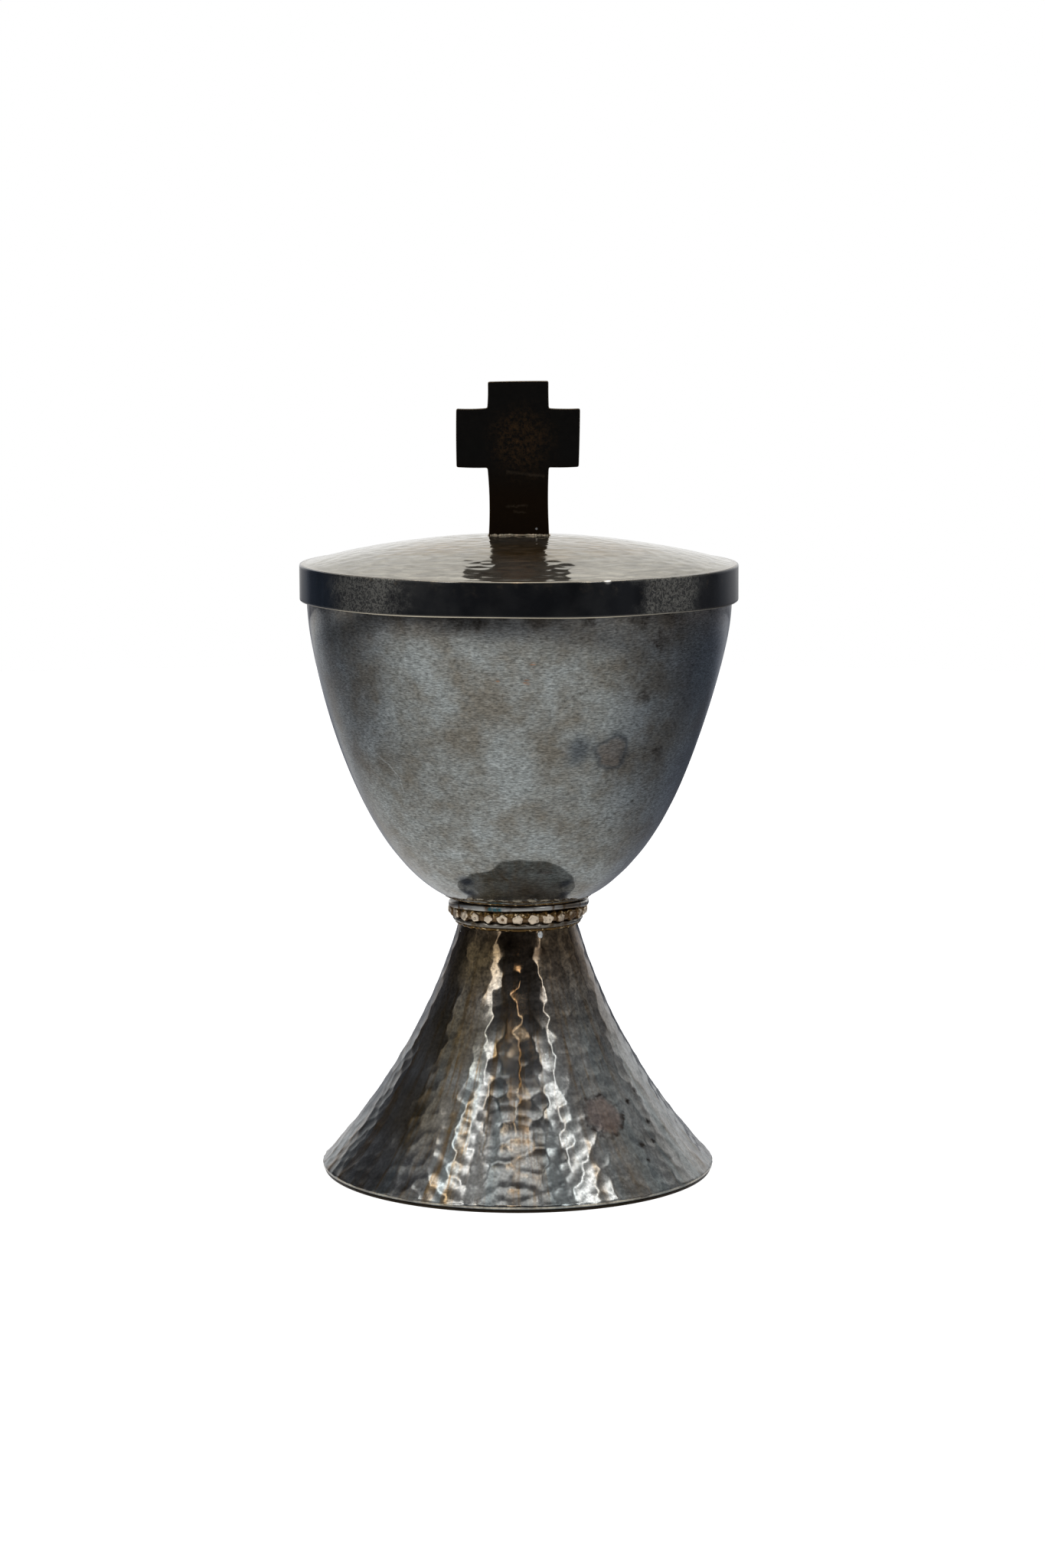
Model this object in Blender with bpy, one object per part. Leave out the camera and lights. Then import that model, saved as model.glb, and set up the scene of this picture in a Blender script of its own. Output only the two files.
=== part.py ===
"""A lidded altar cup, or ciborium: a raised bowl on a flared foot, with a beaded collar
between them and a low domed lid that carries a flat cross. All of it is silver-plated
sheet, hammered by hand.

Metres, +Z up. The origin is on the table, under the middle of the foot.
"""

import math

import bmesh
import bpy
import numpy as np

# Driving dimensions, in metres. Radii are measured to outer surfaces.
SEAT_GAP = 0.00025  # left between two pieces that touch

BASE_RING_HEIGHT = 0.0007
BASE_RING_WIDTH = 0.0030
BASE_RING_INSET = 0.0004  # how far the ring stands back under the foot's edge

FOOT_HEIGHT = 0.0665  # from the table to the top of the neck
FOOT_RADIUS = 0.0519
FOOT_NECK_RADIUS = 0.0155
FOOT_FLARE_RADIUS = 0.1587  # radius of the arc that the hollow flare follows
FOOT_SHEET = 0.0012
FOOT_EDGE = 0.0007  # height of the upright edge round the rim

COLLAR_RADIUS = 0.01835
COLLAR_BASE_HEIGHT = 0.0010
COLLAR_BASE_LIP = 0.0003  # upright edge above the cove of the collar's base
COLLAR_PLATE_HEIGHT = 0.0016
BEAD_DIAMETER = 0.0023
BEAD_COUNT = 28
BEAD_NECK = 0.45  # thickness between two beads, as a share of a bead's
SEAT_RADIUS = 0.01555  # hole in the collar plate that the bowl sits in

BOWL_RADIUS = 0.0556
BOWL_DEPTH = 0.0775  # the curved part, below the straight mouth
BOWL_SHEET = 0.0012
BOWL_FULLNESS = 2.86  # a higher value gives a broader bottom
BOWL_TAPER = 1.2  # a higher value brings the side upright sooner
MOUTH_HEIGHT = 0.0113
LIP_ROUNDING = 0.0003

LID_CLEARANCE = 0.0005  # between the cup's mouth and the lid's skirt
SKIRT_DEPTH = 0.0088
SKIRT_SHEET = 0.0012
SKIRT_ROUNDING = 0.0003
DOME_RISE = 0.0072
DOME_SHEET = 0.0012

CROSS_HEIGHT = 0.0394
CROSS_SPAN = 0.0322
CROSS_UPRIGHT_WIDTH = 0.0156
CROSS_ARM_WIDTH = 0.0150
CROSS_TOP_LENGTH = 0.0071  # upright above the arms
CROSS_THICKNESS = 0.0028
CROSS_CORNER = 0.0006  # rounding of its corners, seen from the front
CROSS_EDGE = 0.00025  # bevel along its faces

STUD_RADIUS = 0.0030
STUD_HEAD_RADIUS = 0.0060
STUD_HEAD_HEIGHT = 0.0012
STUD_TAIL = 0.0030  # length that stands out below the nut
STUD_CHAMFER = 0.0006
WASHER_RADIUS = 0.0085
WASHER_HEIGHT = 0.0012
NUT_FLATS = 0.0100
NUT_HEIGHT = 0.0050

# How finely curves are divided.
LARGE_STEPS = 48  # round the bowl, the foot and the lid
COLLAR_STEPS = 36
STUD_STEPS = 20
POINTS_PER_BEAD = 6

# Heights, stacked up from the table.
FOOT_RIM_Z = BASE_RING_HEIGHT + SEAT_GAP
COLLAR_BASE_Z = FOOT_HEIGHT + SEAT_GAP
BEAD_RING_Z = COLLAR_BASE_Z + COLLAR_BASE_HEIGHT + SEAT_GAP + BEAD_DIAMETER / 2
COLLAR_PLATE_Z = BEAD_RING_Z + BEAD_DIAMETER / 2 + SEAT_GAP
COLLAR_TOP_Z = COLLAR_PLATE_Z + COLLAR_PLATE_HEIGHT

# Sizes that two pieces share.
BEAD_CIRCLE_RADIUS = COLLAR_RADIUS - BEAD_DIAMETER / 2
STUD_HOLE_RADIUS = STUD_RADIUS + SEAT_GAP
SKIRT_INNER_RADIUS = BOWL_RADIUS + LID_CLEARANCE
DOME_RADIUS = SKIRT_INNER_RADIUS - SEAT_GAP

for old in list(bpy.data.objects):
    bpy.data.objects.remove(old, do_unlink=True)


def metal(name, colour, roughness):
    """A Principled metal of the given linear colour."""
    material = bpy.data.materials.new(name)
    material.use_nodes = True
    shader = material.node_tree.nodes["Principled BSDF"]
    shader.inputs["Base Color"].default_value = (*colour, 1.0)
    shader.inputs["Metallic"].default_value = 1.0
    shader.inputs["Roughness"].default_value = roughness
    return material


def add_object(name, data, height, material, parent=None):
    """Places a mesh or curve on the cup's axis at a height, counted from its parent's."""
    data.materials.append(material)
    piece = bpy.data.objects.new(name, data)
    piece.location = (0.0, 0.0, height)
    piece.parent = parent
    bpy.context.collection.objects.link(piece)
    return piece


def finished_mesh(name, shape):
    """Turns a bmesh into a mesh with outward faces and smooth rounds."""
    bmesh.ops.remove_doubles(shape, verts=shape.verts, dist=1e-7)
    bmesh.ops.recalc_face_normals(shape, faces=shape.faces)
    mesh = bpy.data.meshes.new(name)
    shape.to_mesh(mesh)
    shape.free()
    mesh.shade_smooth()
    mesh.set_sharp_from_angle(angle=math.radians(35))
    return mesh


def turned(name, outline, steps):
    """Spins an outline of (radius, height) points round the axis. An outline that starts
    and ends on the axis stays open there, and any other is closed into a ring."""
    shape = bmesh.new()
    points = [shape.verts.new((radius, 0.0, height)) for radius, height in outline]
    pairs = list(zip(points, points[1:]))
    if outline[0][0] > 0.0:
        pairs.append((points[-1], points[0]))
    edges = [shape.edges.new(pair) for pair in pairs]
    bmesh.ops.spin(
        shape, geom=points + edges, cent=(0, 0, 0), axis=(0, 0, 1),
        angle=math.tau, steps=steps, use_merge=True,
    )
    return finished_mesh(name, shape)


# The foot: a hollow flare on an arc, with a flat ring soldered under its edge.
foot_plate = metal("dark_tarnished_silver_plate", (0.16, 0.145, 0.125), 0.22)

rim_top = np.array([FOOT_RADIUS, FOOT_RIM_Z + FOOT_EDGE])
neck_top = np.array([FOOT_NECK_RADIUS, FOOT_HEIGHT])
chord = neck_top - rim_top
half_chord = np.linalg.norm(chord) / 2
outward = np.array([chord[1], -chord[0]]) / (2 * half_chord)
flare_centre = (rim_top + neck_top) / 2 + outward * math.sqrt(FOOT_FLARE_RADIUS**2 - half_chord**2)


def flare(height, depth):
    """Radius of the foot at a height, at a depth below its outer surface."""
    reach = math.sqrt((FOOT_FLARE_RADIUS + depth) ** 2 - (height - flare_centre[1]) ** 2)
    return flare_centre[0] - reach


foot_outline = [(flare(z, 0.0), z) for z in np.linspace(FOOT_HEIGHT, FOOT_RIM_Z + FOOT_EDGE, 13)]
foot_outline.append((FOOT_RADIUS, FOOT_RIM_Z))
foot_outline += [(flare(z, FOOT_SHEET), z) for z in np.linspace(FOOT_RIM_Z, FOOT_HEIGHT, 10)]
add_object("foot_shell", turned("foot_shell", foot_outline, LARGE_STEPS), 0.0, foot_plate)

ring_outer = FOOT_RADIUS - BASE_RING_INSET
ring_inner = ring_outer - BASE_RING_WIDTH
ring_outline = [
    (ring_outer, 0.0),
    (ring_outer, BASE_RING_HEIGHT),
    (ring_inner, BASE_RING_HEIGHT),
    (ring_inner, 0.0),
]
add_object("foot_base_ring", turned("foot_base_ring", ring_outline, LARGE_STEPS), 0.0, foot_plate)

# The collar: a coved base that closes the neck, a beaded wire and a plate that seats the bowl.
collar_plate_metal = metal("worn_silver_plate", (0.34, 0.32, 0.29), 0.28)
bead_metal = metal("rubbed_bright_silver_plate", (0.62, 0.57, 0.47), 0.25)

cove_width = BEAD_CIRCLE_RADIUS - FOOT_NECK_RADIUS
cove_height = COLLAR_BASE_HEIGHT - COLLAR_BASE_LIP
base_outline = [(STUD_HOLE_RADIUS, 0.0)]
for turn in np.linspace(0.0, math.pi / 2, 5):
    base_outline.append((FOOT_NECK_RADIUS + cove_width * (1 - math.cos(turn)), cove_height * math.sin(turn)))
base_outline.append((BEAD_CIRCLE_RADIUS, COLLAR_BASE_HEIGHT))
base_outline.append((STUD_HOLE_RADIUS, COLLAR_BASE_HEIGHT))
collar_base = turned("collar_base", base_outline, COLLAR_STEPS)
add_object("collar_base", collar_base, COLLAR_BASE_Z, collar_plate_metal)

beads = bpy.data.curves.new("bead_ring", "CURVE")
beads.dimensions = "3D"
beads.bevel_depth = BEAD_DIAMETER / 2
beads.bevel_resolution = 2
wire = beads.splines.new("POLY")
wire.use_cyclic_u = True
wire.points.add(BEAD_COUNT * POINTS_PER_BEAD - 1)
for index, point in enumerate(wire.points):
    place = index / POINTS_PER_BEAD  # counted in beads, from the one at the front
    angle = math.tau * place / BEAD_COUNT - math.pi / 2
    swell = math.sqrt(abs(math.cos(math.pi * place)))
    point.co = (BEAD_CIRCLE_RADIUS * math.cos(angle), BEAD_CIRCLE_RADIUS * math.sin(angle), 0.0, 1.0)
    point.radius = BEAD_NECK + (1.0 - BEAD_NECK) * swell
add_object("bead_ring", beads, BEAD_RING_Z, bead_metal)

half_plate = COLLAR_PLATE_HEIGHT / 2
plate_outline = [(SEAT_RADIUS, 0.0)]
for turn in np.linspace(-math.pi / 2, math.pi / 2, 6):
    plate_outline.append(
        (COLLAR_RADIUS - half_plate * (1 - math.cos(turn)), half_plate * (1 + math.sin(turn)))
    )
plate_outline.append((SEAT_RADIUS, COLLAR_PLATE_HEIGHT))
collar_plate = turned("collar_plate", plate_outline, COLLAR_STEPS)
add_object("collar_plate", collar_plate, COLLAR_PLATE_Z, collar_plate_metal)

# The bowl: raised from one sheet, an even curve up to a straight mouth.
bowl_plate = metal("grey_tarnished_silver_plate", (0.30, 0.295, 0.28), 0.28)


def bowl_height(radius):
    """Height of the bowl's outer curve above its lowest point, at a radius."""
    return BOWL_DEPTH * (1 - (1 - (radius / BOWL_RADIUS) ** BOWL_FULLNESS) ** (1 / BOWL_TAPER))


travel = np.linspace(0.0, 1.0, 15) ** 2.4  # closer steps at the rounded bottom
bowl_side = np.column_stack([
    BOWL_RADIUS * (1 - (1 - travel) ** BOWL_TAPER) ** (1 / BOWL_FULLNESS),
    BOWL_DEPTH * travel,
])
slope = np.gradient(bowl_side, axis=0)
slope[0] = (1.0, 0.0)  # level at the bottom
slope[-1] = (0.0, 1.0)  # upright where the mouth starts
slope /= np.linalg.norm(slope, axis=1)[:, None]
bowl_inside = bowl_side + BOWL_SHEET * np.column_stack([-slope[:, 1], slope[:, 0]])

lip_height = BOWL_DEPTH + MOUTH_HEIGHT
mouth_inner_radius = BOWL_RADIUS - BOWL_SHEET
bowl_outline = [tuple(point) for point in bowl_side]
bowl_outline += [
    (BOWL_RADIUS, lip_height - LIP_ROUNDING),
    (BOWL_RADIUS - LIP_ROUNDING, lip_height),
    (mouth_inner_radius + LIP_ROUNDING, lip_height),
    (mouth_inner_radius, lip_height - LIP_ROUNDING),
]
bowl_outline += [tuple(point) for point in bowl_inside[::-1]]
seat_rise = bowl_height(SEAT_RADIUS + SEAT_GAP)
BOWL_Z = COLLAR_TOP_Z - seat_rise + 2 * SEAT_GAP
add_object("cup_bowl", turned("cup_bowl", bowl_outline, LARGE_STEPS), BOWL_Z, bowl_plate)

# The fastening inside the neck: a stud soldered under the bowl draws bowl, collar and foot together.
stud_brass = metal("brass", (0.55, 0.40, 0.18), 0.35)

head_top = BOWL_Z - SEAT_GAP
head_bottom = head_top - STUD_HEAD_HEIGHT
washer_z = COLLAR_BASE_Z - SEAT_GAP - WASHER_HEIGHT
nut_z = washer_z - SEAT_GAP - NUT_HEIGHT
stud_z = nut_z - STUD_TAIL
stud_outline = [
    (0.0, head_top - stud_z),
    (STUD_HEAD_RADIUS, head_top - stud_z),
    (STUD_HEAD_RADIUS, head_bottom - stud_z),
    (STUD_RADIUS, head_bottom - stud_z),
    (STUD_RADIUS, STUD_CHAMFER),
    (STUD_RADIUS - STUD_CHAMFER, 0.0),
    (0.0, 0.0),
]
add_object("tie_stud", turned("tie_stud", stud_outline, STUD_STEPS), stud_z, stud_brass)

washer_outline = [
    (WASHER_RADIUS, 0.0),
    (WASHER_RADIUS, WASHER_HEIGHT),
    (STUD_HOLE_RADIUS, WASHER_HEIGHT),
    (STUD_HOLE_RADIUS, 0.0),
]
add_object("tie_washer", turned("tie_washer", washer_outline, STUD_STEPS), washer_z, stud_brass)

nut_shape = bmesh.new()
bmesh.ops.create_cone(
    nut_shape, cap_ends=True, segments=6, depth=NUT_HEIGHT,
    radius1=NUT_FLATS / 2 / math.cos(math.pi / 6), radius2=NUT_FLATS / 2 / math.cos(math.pi / 6),
)
nut_middle = nut_z + NUT_HEIGHT / 2
nut = add_object("tie_nut", finished_mesh("tie_nut", nut_shape), nut_middle, stud_brass)
drill_shape = bmesh.new()
bmesh.ops.create_cone(
    drill_shape, cap_ends=True, segments=STUD_STEPS, depth=2 * NUT_HEIGHT,
    radius1=STUD_HOLE_RADIUS, radius2=STUD_HOLE_RADIUS,
)
drill = add_object("nut_drill", finished_mesh("nut_drill", drill_shape), nut_middle, stud_brass)
drill.hide_render = True
drill.display_type = "WIRE"
nut_hole = nut.modifiers.new("hole", "BOOLEAN")
nut_hole.operation = "DIFFERENCE"
nut_hole.object = drill

# The lid lifts off along the cup's axis, so its pieces hang from an empty on that axis at the lip.
lid_plate = metal("polished_silver_plate", (0.50, 0.50, 0.47), 0.16)
skirt_plate = metal("black_tarnished_silver_plate", (0.075, 0.073, 0.072), 0.24)
cross_plate = metal("brown_black_tarnished_silver_plate", (0.045, 0.037, 0.028), 0.28)

LIP_Z = BOWL_Z + lip_height
lid = bpy.data.objects.new("lid", None)
lid.location = (0.0, 0.0, LIP_Z)
bpy.context.collection.objects.link(lid)

dome_sphere_radius = (DOME_RADIUS**2 + DOME_RISE**2) / (2 * DOME_RISE)


def dome_height(radius, depth):
    """Height of the lid's dome over its edge, at a radius and a depth below its top surface."""
    return DOME_RISE - dome_sphere_radius + math.sqrt((dome_sphere_radius - depth) ** 2 - radius**2)


# The lid rests with the underside of its dome on the cup's lip.
lid_edge = SEAT_GAP - dome_height(BOWL_RADIUS, DOME_SHEET)
dome_outline = [(r, dome_height(r, 0.0)) for r in np.linspace(0.0, DOME_RADIUS, 8)]
dome_outline += [(r, dome_height(r, DOME_SHEET)) for r in np.linspace(DOME_RADIUS, 0.0, 7)]
add_object("lid_dome", turned("lid_dome", dome_outline, LARGE_STEPS), lid_edge, lid_plate, lid)

skirt_outer = SKIRT_INNER_RADIUS + SKIRT_SHEET
skirt_outline = [
    (SKIRT_INNER_RADIUS, 0.0),
    (skirt_outer - SKIRT_ROUNDING, 0.0),
    (skirt_outer, -SKIRT_ROUNDING),
    (skirt_outer, SKIRT_ROUNDING - SKIRT_DEPTH),
    (skirt_outer - SKIRT_ROUNDING, -SKIRT_DEPTH),
    (SKIRT_INNER_RADIUS, -SKIRT_DEPTH),
]
add_object("lid_skirt", turned("lid_skirt", skirt_outline, LARGE_STEPS), lid_edge, skirt_plate, lid)

# The cross: sawn from plate, its foot cut to the dome's curve and soldered on the crown.
upright_half = CROSS_UPRIGHT_WIDTH / 2
span_half = CROSS_SPAN / 2
arm_top = CROSS_HEIGHT - CROSS_TOP_LENGTH
arm_bottom = arm_top - CROSS_ARM_WIDTH
right_side = [
    (upright_half, arm_bottom),
    (span_half, arm_bottom),
    (span_half, arm_top),
    (upright_half, arm_top),
    (upright_half, CROSS_HEIGHT),
]
cross_corners = right_side + [(-x, z) for x, z in reversed(right_side)]


def rounded(before, corner, after, size, steps=4):
    """Points of a rounding that leaves each side of a corner at the given distance from it."""
    before, corner, after = (np.array(point) for point in (before, corner, after))
    start = corner + size * (before - corner) / np.linalg.norm(before - corner)
    end = corner + size * (after - corner) / np.linalg.norm(after - corner)
    share = np.linspace(0.0, 1.0, steps)[:, None]
    return (1 - share) ** 2 * start + 2 * share * (1 - share) * corner + share**2 * end


cross_foot = [(x, dome_height(abs(x), 0.0) - DOME_RISE) for x in np.linspace(-upright_half, upright_half, 7)]
round_trip = [cross_foot[-1], *cross_corners, cross_foot[0]]
cross_outline = list(cross_foot)
for before, corner, after in zip(round_trip, round_trip[1:], round_trip[2:]):
    cross_outline += [tuple(point) for point in rounded(before, corner, after, CROSS_CORNER)]

cross_shape = bmesh.new()
back = cross_shape.faces.new([cross_shape.verts.new((x, CROSS_THICKNESS / 2, z)) for x, z in cross_outline])
swept = bmesh.ops.extrude_face_region(cross_shape, geom=[back])
front_points = [part for part in swept["geom"] if isinstance(part, bmesh.types.BMVert)]
bmesh.ops.translate(cross_shape, verts=front_points, vec=(0.0, -CROSS_THICKNESS, 0.0))
face_edges = [edge for edge in cross_shape.edges if abs(edge.verts[0].co.y - edge.verts[1].co.y) < 1e-9]
bmesh.ops.bevel(cross_shape, geom=face_edges, offset=CROSS_EDGE, segments=1, affect="EDGES")
cross_z = lid_edge + DOME_RISE + SEAT_GAP
add_object("cross_finial", finished_mesh("cross_finial", cross_shape), cross_z, cross_plate, lid)
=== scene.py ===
"""Looks of a lidded altar cup, a ciborium: raised, hammered and silver-plated by hand, and long
tarnished. Every piece is worked out in millimetres and stands where its solid in the frame stands.
Angles round the cup's axis start at the front and grow to the right.
"""

import math
from functools import partial

import bpy
import numpy as np
from mathutils import Matrix, Vector


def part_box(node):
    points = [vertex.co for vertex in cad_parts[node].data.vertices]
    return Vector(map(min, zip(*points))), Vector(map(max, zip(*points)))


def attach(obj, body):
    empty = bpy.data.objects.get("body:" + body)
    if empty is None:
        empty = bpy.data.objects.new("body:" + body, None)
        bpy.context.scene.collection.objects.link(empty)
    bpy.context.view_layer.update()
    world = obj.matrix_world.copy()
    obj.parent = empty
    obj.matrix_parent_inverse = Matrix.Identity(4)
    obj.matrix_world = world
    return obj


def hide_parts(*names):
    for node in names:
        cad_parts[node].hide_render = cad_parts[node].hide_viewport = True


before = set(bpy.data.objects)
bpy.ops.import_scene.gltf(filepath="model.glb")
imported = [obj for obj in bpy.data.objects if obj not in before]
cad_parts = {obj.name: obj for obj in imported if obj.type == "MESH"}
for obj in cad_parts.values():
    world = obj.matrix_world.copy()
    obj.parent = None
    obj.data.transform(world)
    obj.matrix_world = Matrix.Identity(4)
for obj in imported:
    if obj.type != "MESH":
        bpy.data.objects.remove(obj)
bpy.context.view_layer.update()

# Foot ring: a flat band soldered under the foot's edge, so that the thin sheet stands on a solid rim.
# Nobody polishes it, so it is almost black, and that near-black is also painted shade: it stands for the
# dark shadow line along the foot's edge on the table.
MM = 0.001
RING_WIDTH = 3.0
RING_ROUNDING = 0.15
RING_COLUMNS = 360
MAIN_SETTING = {  # the setting that tells what a node of each kind does
    "Math": "operation", "VectorMath": "operation", "MapRange": "interpolation_type", "Mix": "data_type",
    "Attribute": "attribute_name",
}


def box_mm(node):
    """Lowest and highest corner of a frame node, in millimetres."""
    low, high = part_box(node)
    return np.array(low) / MM, np.array(high) / MM


def around(columns):
    """Evenly spaced angles, once round."""
    return np.linspace(0.0, math.tau, columns, endpoint=False)


def rounded_band(inner, outer, bottom, top, rounding, side_steps=2):
    """Profile of a flat band: a rectangle from inner to outer radius and from bottom to top, with a
    quarter circle on each corner. It runs up the outside and down the inside."""
    inner, outer, bottom, top = inner + rounding, outer - rounding, bottom + rounding, top - rounding
    corners = []
    for quarter, centre in enumerate([(outer, bottom), (outer, top), (inner, top), (inner, bottom)]):
        swing = np.linspace(0.0, math.pi / 2, 5) + (quarter - 1) * math.pi / 2
        corners.append(centre + rounding * np.column_stack([np.cos(swing), np.sin(swing)]))
    share = np.linspace(0.0, 1.0, side_steps + 1)[1:-1, None]
    sides = [(1 - share) * corners[i][-1] + share * corners[(i + 1) % 4][0] for i in (0, 2)]
    return np.vstack([corners[0], sides[0], corners[1], corners[2], sides[1], corners[3]])


def directions(points):
    """Unit vectors along a line of points."""
    slope = np.gradient(points, axis=0)
    return slope / np.linalg.norm(slope, axis=1)[:, None]


def turned(profile, columns, lift=0.0):
    """Turns a profile of (radius, height) points round the axis: x = r sin a, y = -r cos a. Each point
    is first pushed out along the profile's normal by its lift, one number or a grid of them."""
    slope = directions(profile)
    angle = around(columns)
    lift = np.broadcast_to(lift, (len(profile), columns))
    radius = profile[:, :1] + slope[:, 1:] * lift
    height = profile[:, 1:] - slope[:, :1] * lift
    return np.stack([radius * np.sin(angle), -radius * np.cos(angle), height], axis=-1)


def wall_faces(rows, columns, closed=True):
    """Quads between the points of a grid. Columns close round the axis, and rows too if closed."""
    here = np.arange(rows * columns).reshape(rows, columns)
    above = np.roll(here, -1, axis=0)
    if not closed:
        here, above = here[:-1], above[:-1]
    corners = [here, np.roll(here, -1, axis=1), np.roll(above, -1, axis=1), above]
    return np.stack(corners, axis=-1).reshape(-1, 4).tolist()


def add_piece(name, body, points, material, faces=None, **marks):
    """Makes a mesh of points in millimetres that rides on a body. Without faces, the points are a
    closed grid. Each mark is one number for every point, kept as an attribute for the material."""
    mesh = bpy.data.meshes.new(name)
    mesh.from_pydata(points.reshape(-1, 3) * MM, [], faces or wall_faces(*points.shape[:2]))
    mesh.shade_smooth()
    for mark, values in marks.items():
        attribute = mesh.attributes.new(mark, "FLOAT", "POINT")
        attribute.data.foreach_set("value", values.astype(np.float32).ravel())
    mesh.materials.append(material)
    piece = bpy.data.objects.new(name, mesh)
    bpy.context.scene.collection.objects.link(piece)
    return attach(piece, body)


def linear(hex_colour):
    """Linear RGBA of an sRGB hex colour: the sRGB curve, a power of 2.4 above its straight foot."""
    srgb = np.array([int(hex_colour[i:i + 2], 16) for i in (1, 3, 5)]) / 255
    return (*np.where(srgb <= 0.04045, srgb / 12.92, ((srgb + 0.055) / 1.055) ** 2.4), 1.0)


def per_mm(size):
    """Scale of a texture on Object coordinates whose features are this many millimetres wide."""
    return 1.0 / (size * MM)


def connect(node, inputs):
    """Sets a node's inputs, each to a value or to another node's output. They come as a dict by name,
    or as a row in the order of the inputs in use: place, scale, detail and roughness of noise, or
    the value, the two ends it runs between and the two it is mapped to."""
    if isinstance(inputs, dict):
        sockets, inputs = [node.inputs[name] for name in inputs], inputs.values()
    else:
        sockets = [socket for socket in node.inputs if socket.enabled]
    for socket, value in zip(sockets, inputs):
        if isinstance(value, bpy.types.NodeSocket):
            node.id_data.links.new(value, socket)
        else:
            socket.default_value = value


def add_node(tree, kind, inputs=(), choice=None):
    """Adds a shader node with its inputs and its main setting: the operation of maths, the course of a
    map range, the type of a mix or the name of an attribute. Returns the first output in use."""
    node = tree.nodes.new("ShaderNode" + kind)
    if choice:
        setattr(node, MAIN_SETTING[kind], choice)
    connect(node, inputs)
    return next(socket for socket in node.outputs if socket.enabled)


def new_metal(name):
    """A metal's material, the function that adds its nodes, its Principled shader and its Object
    coordinates."""
    material = bpy.data.materials.new(name)
    material.use_nodes = True
    shader = material.node_tree.nodes["Principled BSDF"]
    shader.inputs["Metallic"].default_value = 1.0
    add = partial(add_node, material.node_tree)
    return material, add, shader, add("TexCoord").node.outputs["Object"]


def stained(add, colour, *stains):
    """Colour with stains laid over it, one after another. Each is a mask, a hex colour and, where it
    doesn't cover fully, a strength. The colour below may be a hex colour too."""
    for mask, stain, *strength in stains:
        if strength:
            mask = add("Math", (mask, *strength), "MULTIPLY")
        below = linear(colour) if isinstance(colour, str) else colour
        colour = add("Mix", (mask, below, linear(stain)), "RGBA")
    return colour


# Unpolished silver plate: almost black all over, with a little brown where it was handled. The near-black
# is partly painted shade, for the shadow line under the foot's edge.
ring_metal, add, shader, place = new_metal("blackened_plate_and_painted_shadow_line")
blotches = add("TexNoise", (place, per_mm(6), 5.0))
connect(shader, {"Base Color": stained(add, "#1b1a18", (blotches, "#3a3126")), "Roughness": 0.45})

ring_low, ring_high = box_mm("foot_base_ring")
ring_inner = ring_high[0] - RING_WIDTH
ring_profile = rounded_band(ring_inner, ring_high[0], ring_low[2], ring_high[2], RING_ROUNDING)
foot_ring = add_piece("foot_ring", "cup", turned(ring_profile, RING_COLUMNS), ring_metal)
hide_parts("foot_base_ring")

# Foot: a flared shell of sheet brass, hammered over a stake in overlapping blows and silver-plated.
# The blows leave round hollows with ridges between them, deep towards the rim and faint at the neck.
FOOT_NECK_RADIUS = 15.5
FOOT_FLARE_RADIUS = 158.7
FOOT_SHEET = 1.2
FOOT_EDGE = 0.7
FOOT_EDGE_ROUNDING = 0.1
FOOT_EDGE_BULGE = 0.02
FOOT_COLUMNS = 600
FOOT_ROWS = 144
FOOT_INSIDE_ROWS = 12
FOOT_BLOW_PITCH = 3.6
FOOT_BLOW_DEPTH = 0.085
FOOT_BLOWS_FADE = (18.0, 66.0)  # heights between which the blows lose some of their depth
FOOT_BLOWS_LOSS = 0.45
FOOT_WAVES = 0.05  # how uneven the sheet is, and over which length
FOOT_WAVE_LENGTH = 30.0
FOOT_RIDGES = (0.75, 1.5)  # levels of the blows over which the ridges wear more and more
BLOW_SCATTER = 0.45  # how far a blow falls from its place in the row, in pitches
BLOW_SET_OFF = 0.9  # how unevenly deep the blows are
BLOW_MEAN = 0.7  # level of the sheet between the hollows at 0 and the ridges
foot_random = np.random.default_rng(11)

foot_low, foot_high = box_mm("foot_shell")
rim_top = np.array([foot_high[0], foot_low[2] + FOOT_EDGE])
neck_top = np.array([FOOT_NECK_RADIUS, foot_high[2]])
chord = neck_top - rim_top
half_chord = np.linalg.norm(chord) / 2
outward = np.array([chord[1], -chord[0]]) / (2 * half_chord)
flare_centre = (rim_top + neck_top) / 2 + outward * math.sqrt(FOOT_FLARE_RADIUS**2 - half_chord**2)


def flare(depth, start, end, steps):
    """Points of the foot's arc at a depth below its outer surface, between two heights."""
    height = np.linspace(start, end, steps)
    reach = np.sqrt((FOOT_FLARE_RADIUS + depth) ** 2 - (height - flare_centre[1]) ** 2)
    return np.column_stack([flare_centre[0] - reach, height])


def run_length(points):
    """Length of a line of points from its start to each point."""
    return np.concatenate([[0.0], np.cumsum(np.linalg.norm(np.diff(points, axis=0), axis=1))])


def smooth_step(value, low, high):
    """0 below low, 1 above high, and a smooth S between them."""
    share = np.clip((value - low) / (high - low), 0.0, 1.0)
    return share * share * (3 - 2 * share)


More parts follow.
